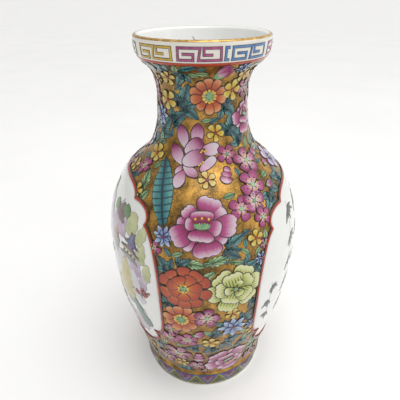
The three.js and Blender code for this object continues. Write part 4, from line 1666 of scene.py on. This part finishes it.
SCENE_ENAMELS = {
    "crag": wash_enamel("crag_brown", tone(92, 62, 66), tone(140, 104, 104), tone(40, 28, 30)),
    "mauve": wash_enamel("cliff_mauve", tone(172, 150, 176), tone(214, 200, 214), tone(110, 86, 112)),
    "moss": wash_enamel("tree_moss", tone(176, 184, 128), tone(214, 216, 168), tone(70, 74, 50)),
    "leaf": wash_enamel("tree_green", tone(74, 116, 66), tone(116, 152, 92), tone(36, 56, 34)),
    "roof": wash_enamel("roof_purple", tone(84, 62, 92), tone(126, 106, 136), tone(34, 24, 40)),
    "roof_blue": wash_enamel("roof_blue", tone(70, 92, 142), tone(124, 148, 188), tone(34, 44, 80)),
    "hill": wash_enamel("hill_mustard", tone(178, 162, 74), tone(210, 198, 116), tone(110, 98, 40)),
    "pine": wash_enamel("pine_teal", tone(46, 96, 88), tone(96, 142, 128), tone(24, 52, 50)),
    "shore": wash_enamel("shore_pink", tone(190, 164, 176), tone(222, 204, 210), tone(136, 104, 120)),
    "stone": wash_enamel("stone_grey", tone(116, 122, 116), tone(160, 162, 152), tone(60, 64, 62)),
    "rust": wash_enamel("rock_rust", tone(168, 116, 88), tone(202, 158, 130), tone(96, 60, 44)),
    "bloom": wash_enamel("bloom_red", tone(178, 62, 58), tone(214, 110, 96), tone(110, 30, 30)),
    "trunk": wash_enamel("trunk_brown", tone(86, 58, 50), tone(124, 92, 78), tone(40, 26, 24)),
}
SCENE_ENAMELS["mist"] = wash_enamel("mist_grey", tone(206, 202, 210), tone(222, 220, 222),
                                    tone(190, 184, 194), 0.5)
SCENE_KEYS = list(SCENE_ENAMELS)
crag_pad = PadShape(smooth_outline(mirrored([(0.3, 0), (0.5, 0.2), (0.34, 0.45), (0.4, 0.62), (0.16, 0.8),
                                             (0, 1)]), 18),
                    (0, 0.4))
hill_pad = PadShape(smooth_outline(mirrored([(0.5, 0), (0.5, 0.3), (0.3, 0.75), (0, 1)]), 14), (0, 0.4))
bush_pad = PadShape(smooth_outline(mirrored([(0.2, 0), (0.46, 0.12), (0.4, 0.34), (0.5, 0.55), (0.34, 0.7),
                                             (0.3, 0.92), (0, 1)]), 20), (0, 0.5))
roof_pad = PadShape([(-0.5, 0.08), (-0.3, 0.2), (-0.16, 0.5), (-0.12, 1), (0.12, 1), (0.16, 0.5), (0.3, 0.2),
                     (0.5, 0.08), (0.3, 0), (0, 0.03), (-0.3, 0)], (0, 0.32))

# %% Landscape plan
SCENE_PLAN = [  # pad, enamel, x, y, width, length, turn, layer
    (hill_pad, "mist", 8, 8, 46, 34, -4, 0), (hill_pad, "mist", 34, -14, 40, 36, 10, 0),
    (hill_pad, "mist", -42, -26, 26, 40, 0, 0), (hill_pad, "mist", 12, -44, 60, 18, 0, 0),
    (crag_pad, "mauve", -30, -6, 30, 62, 4, 0), (crag_pad, "mauve", -8, 2, 26, 58, -6, 0),
    (hill_pad, "stone", 4, -30, 44, 26, 0, 0), (crag_pad, "stone", 26, 10, 16, 26, 10, 0),
    (crag_pad, "mauve", 24, 28, 14, 26, 20, 1), (crag_pad, "mauve", 35, 30, 13, 20, 8, 1),
    (crag_pad, "mauve", 12, 34, 18, 18, -12, 1), (crag_pad, "rust", 29, 24, 7, 12, 10, 2),
    (crag_pad, "crag", 32, 38, 15, 13, 12, 2), (crag_pad, "crag", 4, 40, 14, 12, 0, 2),
    (bush_pad, "leaf", 26, 43, 9, 7, -20, 3), (bush_pad, "leaf", 38, 44, 10, 7, 30, 3),
    (bush_pad, "leaf", 2, 48, 12, 7, 0, 3), (bush_pad, "moss", 46, 34, 12, 15, 10, 2),
    (bush_pad, "moss", 53, 31, 8, 14, 30, 2), (bush_pad, "moss", 56, 18, 8, 15, 6, 1),
    (bush_pad, "moss", 60, 6, 7, 14, 6, 1), (crag_pad, "mauve", 50, 7, 12, 20, 10, 1),
    (crag_pad, "mauve", 55, -2, 9, 14, 16, 1), (hill_pad, "hill", 36, -22, 18, 40, 8, 1),
    (hill_pad, "hill", 20, -18, 22, 30, -10, 1), (hill_pad, "hill", -18, -24, 34, 26, 0, 1),
    (crag_pad, "stone", 40, -24, 10, 18, -10, 2), (hill_pad, "shore", 42, -46, 16, 26, 26, 1),
    (hill_pad, "shore", 20, -54, 40, 16, 0, 1), (hill_pad, "shore", -22, -50, 44, 16, 0, 1),
    (crag_pad, "pine", 55, -40, 10, 30, -24, 3), (crag_pad, "pine", 50, -28, 9, 18, -30, 3),
    (bush_pad, "pine", -34, -30, 16, 24, 0, 2), (bush_pad, "pine", -22, -22, 12, 20, 8, 2),
    (bush_pad, "moss", -46, -12, 14, 22, -10, 2), (bush_pad, "leaf", -40, 10, 14, 16, 0, 3),
    (crag_pad, "crag", -42, 0, 18, 20, 0, 2),
]
PAVILIONS = [(46, 20, 1.0, 14), (-12, 8, 1.1, 0)]  # x, y, size, turn

# %% Paint the landscape
landscape = Painting("left_landscape", "panel_paint", list(SCENE_ENAMELS.values()), panel_surfaces["left"],
                     keep_out=False)


def mass(shape, enamel, x, y, width, long, turn, layer, shade=0.5):
    landscape.pad(shape, x * MM, y * MM, turn, width * MM, long * MM, 0, 0,
                  lift=PANEL_LIFT + 0.04 + 0.05 * layer,
                  rise=0.06, shade=shade, material=SCENE_KEYS.index(enamel), edge_width=0.5 * MM)


def pavilion(x, y, size, turn):
    """Two curved roofs over a row of posts, on a stone base."""
    up, right = direction(turn), direction(turn + 90)

    def part(shape, enamel, across, high, width, long, layer):
        at = np.array([x, y]) + (right * across + up * high) * size
        mass(shape, enamel, at[0], at[1], width * size, long * size, turn, layer)

    part(hill_pad, "stone", 0, -3, 17, 4, 3)
    for k in range(4):
        part(hill_pad, "trunk", -5.4 + 3.6 * k, 0, 1.3, 6, 4)
    part(roof_pad, "hill", 0, 2.6, 20, 5, 5)
    part(roof_pad, "roof", 0, 3.8, 18, 6, 6)
    part(roof_pad, "roof", 0, 8.2, 16, 9, 6)
    part(roof_pad, "roof_blue", 0, 9.4, 9, 6, 7)


for row in SCENE_PLAN:
    mass(*row)
for place in PAVILIONS:
    pavilion(*place)
twigs = random.Random(17)
for x, y, reach in ((54, -9, 9), (-20, 22, 13), (12, -36, 12)):
    for k in range(7):
        way = twigs.uniform(-75, 75)
        long = reach * twigs.uniform(0.5, 1.0)
        tip = np.array([x, y]) + direction(way) * long
        landscape.stroke(np.array([(x, y - 2), (x, y), tip]) * MM,
                         np.array([1.2, 0.9, 0.4]) * MM, 0, 0,
                         lift=PANEL_LIFT + 0.22, rise=0.04, material=SCENE_KEYS.index("trunk"))
        for _ in range(4):
            at = np.array([x, y]) + direction(way + twigs.uniform(-12, 12)) * long * twigs.uniform(0.5, 1.1)
            mass(bush_pad, "bloom", at[0], at[1] - 0.8, 1.7, 1.7, twigs.uniform(0, 360), 6, twigs.random())
landscape.build()

# %% [markdown]
# ## The right panel's brushwork
# The right panel carries columns of black brush marks. Here they are sprigs of bamboo: a thin stem and a few
# tapered leaves, each leaf one press of the brush. They say nothing, and only keep the columns' rhythm.

# %% Bamboo sprigs in ink


def ink_paint(shader):
    place, _, along = pad_places(shader)[:3]
    dry = shader.noise(1.0, 3, 0.7, where=place, stretch=(16, 3, 1))
    return gloss(shader, (dry * 0.8 + along * 0.3).ramp([(0.5, tone(24, 24, 26)),
                                                         (0.85, tone(96, 96, 98))]), 0.2)


ink = finish_of("black_ink", ink_paint, coat=0.4)
pale_ink = wash_enamel("pale_ink", tone(120, 122, 120), tone(168, 170, 166), tone(110, 110, 108), 0.4)
sprigs = Painting("right_bamboo_sprigs", "panel_paint", [ink, pale_ink], panel_surfaces["right"],
                  keep_out=False)
brush = random.Random(5)


def stalk(x, top, bottom):
    """One thin bamboo stalk, paler than its leaves, with a small gap at every joint."""
    joints = max(3, round((top - bottom) / 14))
    sway = brush.uniform(-1.5, 1.5)
    tall = (top - bottom) / joints
    for k in range(joints):
        low, high = bottom + tall * k + 0.4, bottom + tall * (k + 1) - 0.4
        ends = [(x + sway * (z - bottom) / (top - bottom), z) for z in (low, high)]
        sprigs.stroke(np.array(ends) * MM, 0.5 * MM, 0, 0, lift=PANEL_LIFT + 0.02, rise=0.02, material=1)


def leaf_group(x, y, leaves, reach):
    """Leaves that hang from one joint, long and short by turns."""
    lean = brush.choice((-1, 1)) * 28
    for k in range(leaves):
        share = k / max(leaves - 1, 1) - 0.5
        sprigs.pad(slim_leaf, (x + share * 1.2) * MM, (y - abs(share)) * MM, 180 + lean + share * 120,
                   2.3 * MM, reach * (1.0 if k % 2 else 0.74) * brush.uniform(0.9, 1.1) * MM, 0, 0,
                   lift=PANEL_LIFT + 0.05 + 0.01 * k, rise=0.05, edge_width=0.2 * MM)


STALKS = [  # x, top, bottom, leaf groups
    (-37, 54, -38, 5), (-56, 4, -34, 3), (-17, 55, -44, 5), (4, 56, -46, 5), (26, 54, -44, 5),
    (46, 44, -34, 4),
]
for x, top, bottom, count in STALKS:
    stalk(x, top, bottom)
    gap = (top - bottom) / count
    for k in range(count):
        leaf_group(x + brush.uniform(-0.8, 0.8), top - gap * (k + 0.15) - 1, brush.randint(4, 6), gap * 0.62)
sprigs.build()
# %% [markdown]
# ## A mark inside the mouth
# The glaze inside the mouth has one short greenish mark at the back, where glaze pooled in a hairline. It is
# a thin tapered stroke, laid on the inner side of the wall, so its surface is the wall's line moved in.

# %% Glaze mark
inner_line = np.vstack([wall_between(NECK_HEIGHT, MOUTH_HEIGHT, -WALL)])


class InnerSurface(TurnedSurface):
    """The inside of the wall, where out means towards the axis."""

    def __init__(self, line):
        super().__init__(line)
        self.out = -self.out


glaze_mark = line_enamel("glaze_mark", tone(150, 148, 108), tone(196, 196, 164), tone(168, 168, 132))
mark = Painting("mouth_glaze_mark", "white_glaze", [glaze_mark], InnerSurface(inner_line), keep_out=False)
MARK_PATH = [(-1.2, -4.6), (-0.9, -1.6), (0.4, 1.2), (1.9, 3.4)]
mark.stroke(np.array(MARK_PATH) * MM, np.array([0.35, 0.6, 1.0, 0.4]) * MM, 183, MOUTH_HEIGHT - 4.4 * MM,
            lift=0.04, rise=0.03)
mark.build()
# %% [markdown]
# ## Floor, light and camera
# The vase stands on a plain pale sheet under soft studio light. The camera looks down on it from the front.

# %% Floor


def floor_paint(shader):
    cloud = shader.noise(6, 2)
    return {
        "Base Color": cloud.ramp([(0.3, (0.93, 0.93, 0.925)), (0.7, (0.96, 0.96, 0.955))]),
        "Roughness": cloud * 0.1 + 0.6,
    }


deselect()
bpy.ops.mesh.primitive_plane_add(size=60, location=(0, 0, 0))
floor = bpy.context.object
floor.name = "floor"
floor.data.materials.append(finish_of("floor_sheet", floor_paint))
floor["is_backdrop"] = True

# %% Light
# The room is brighter on the right and overhead, so the left side of the vase falls into soft shade.
SHADE_SIDE, BRIGHT_SIDE = 0.50, 1.12
world = bpy.data.worlds.new("studio")
bpy.context.scene.world = world
world.use_nodes = True
room = Socket(world.node_tree)
sides = room.node("ShaderNodeSeparateXYZ", Vector=room.node("ShaderNodeTexCoord"))
upward = Socket(room.tree, sides.output.node.outputs[2])
backdrop = world.node_tree.nodes["Background"]
backdrop.inputs["Color"].default_value = (1.0, 0.995, 0.985, 1)
across_room = (sides * 0.5 + 0.5) * (BRIGHT_SIDE - SHADE_SIDE) + SHADE_SIDE
room.feed(backdrop.inputs["Strength"], across_room * (upward * 0.45 + 0.85))


def softbox(name, place, target, size, power, colour=(1, 1, 1)):
    data = bpy.data.lights.new(name, "AREA")
    data.shape = "RECTANGLE"
    data.size, data.size_y = size
    data.energy = power
    data.color = colour
    lamp = bpy.data.objects.new(name, data)
    bpy.context.collection.objects.link(lamp)
    lamp.location = place
    aim = np.array(target) - np.array(place)
    lamp.rotation_euler = Vector(aim).to_track_quat("-Z", "Y").to_euler()
    return lamp


softbox("overhead", (0.15, -0.35, 1.2), (0, 0, 0.15), (0.8, 0.5), 3.2)
softbox("right_side", (1.2, -0.3, 0.6), (0, 0, 0.12), (0.7, 0.9), 1.2)

# %% Camera
CAMERA_REACH = 232.2 * MM
CAMERA_HEIGHT = 272.1 * MM
CAMERA_TURN = -4.0  # degrees round the vase from straight in front
CAMERA_PITCH = -29.5
CAMERA_ROLL = -0.43
camera_data = bpy.data.cameras.new("camera")
camera_data.sensor_width = 36
camera_data.lens = 33.94
camera_data.clip_start = 0.01
camera = bpy.data.objects.new("camera", camera_data)
bpy.context.collection.objects.link(camera)
around = math.radians(CAMERA_TURN)
side_step = -2.0 * MM
camera.location = (
    CAMERA_REACH * math.sin(around) + side_step * math.cos(around),
    -CAMERA_REACH * math.cos(around) + side_step * math.sin(around),
    CAMERA_HEIGHT,
)
camera.matrix_world = (
    Matrix.Translation(camera.location)
    @ Matrix.Rotation(around, 4, "Z")
    @ Matrix.Rotation(math.radians(90 + CAMERA_PITCH), 4, "X")
    @ Matrix.Rotation(math.radians(CAMERA_ROLL), 4, "Z")
)
bpy.context.scene.camera = camera
bpy.context.scene.view_settings.view_transform = "Standard"

# %% Sizes of the frame and the pieces, at the end
low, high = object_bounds()
{"cad": [list(cad_low), list(cad_high)], "visual": [list(low), list(high)]}
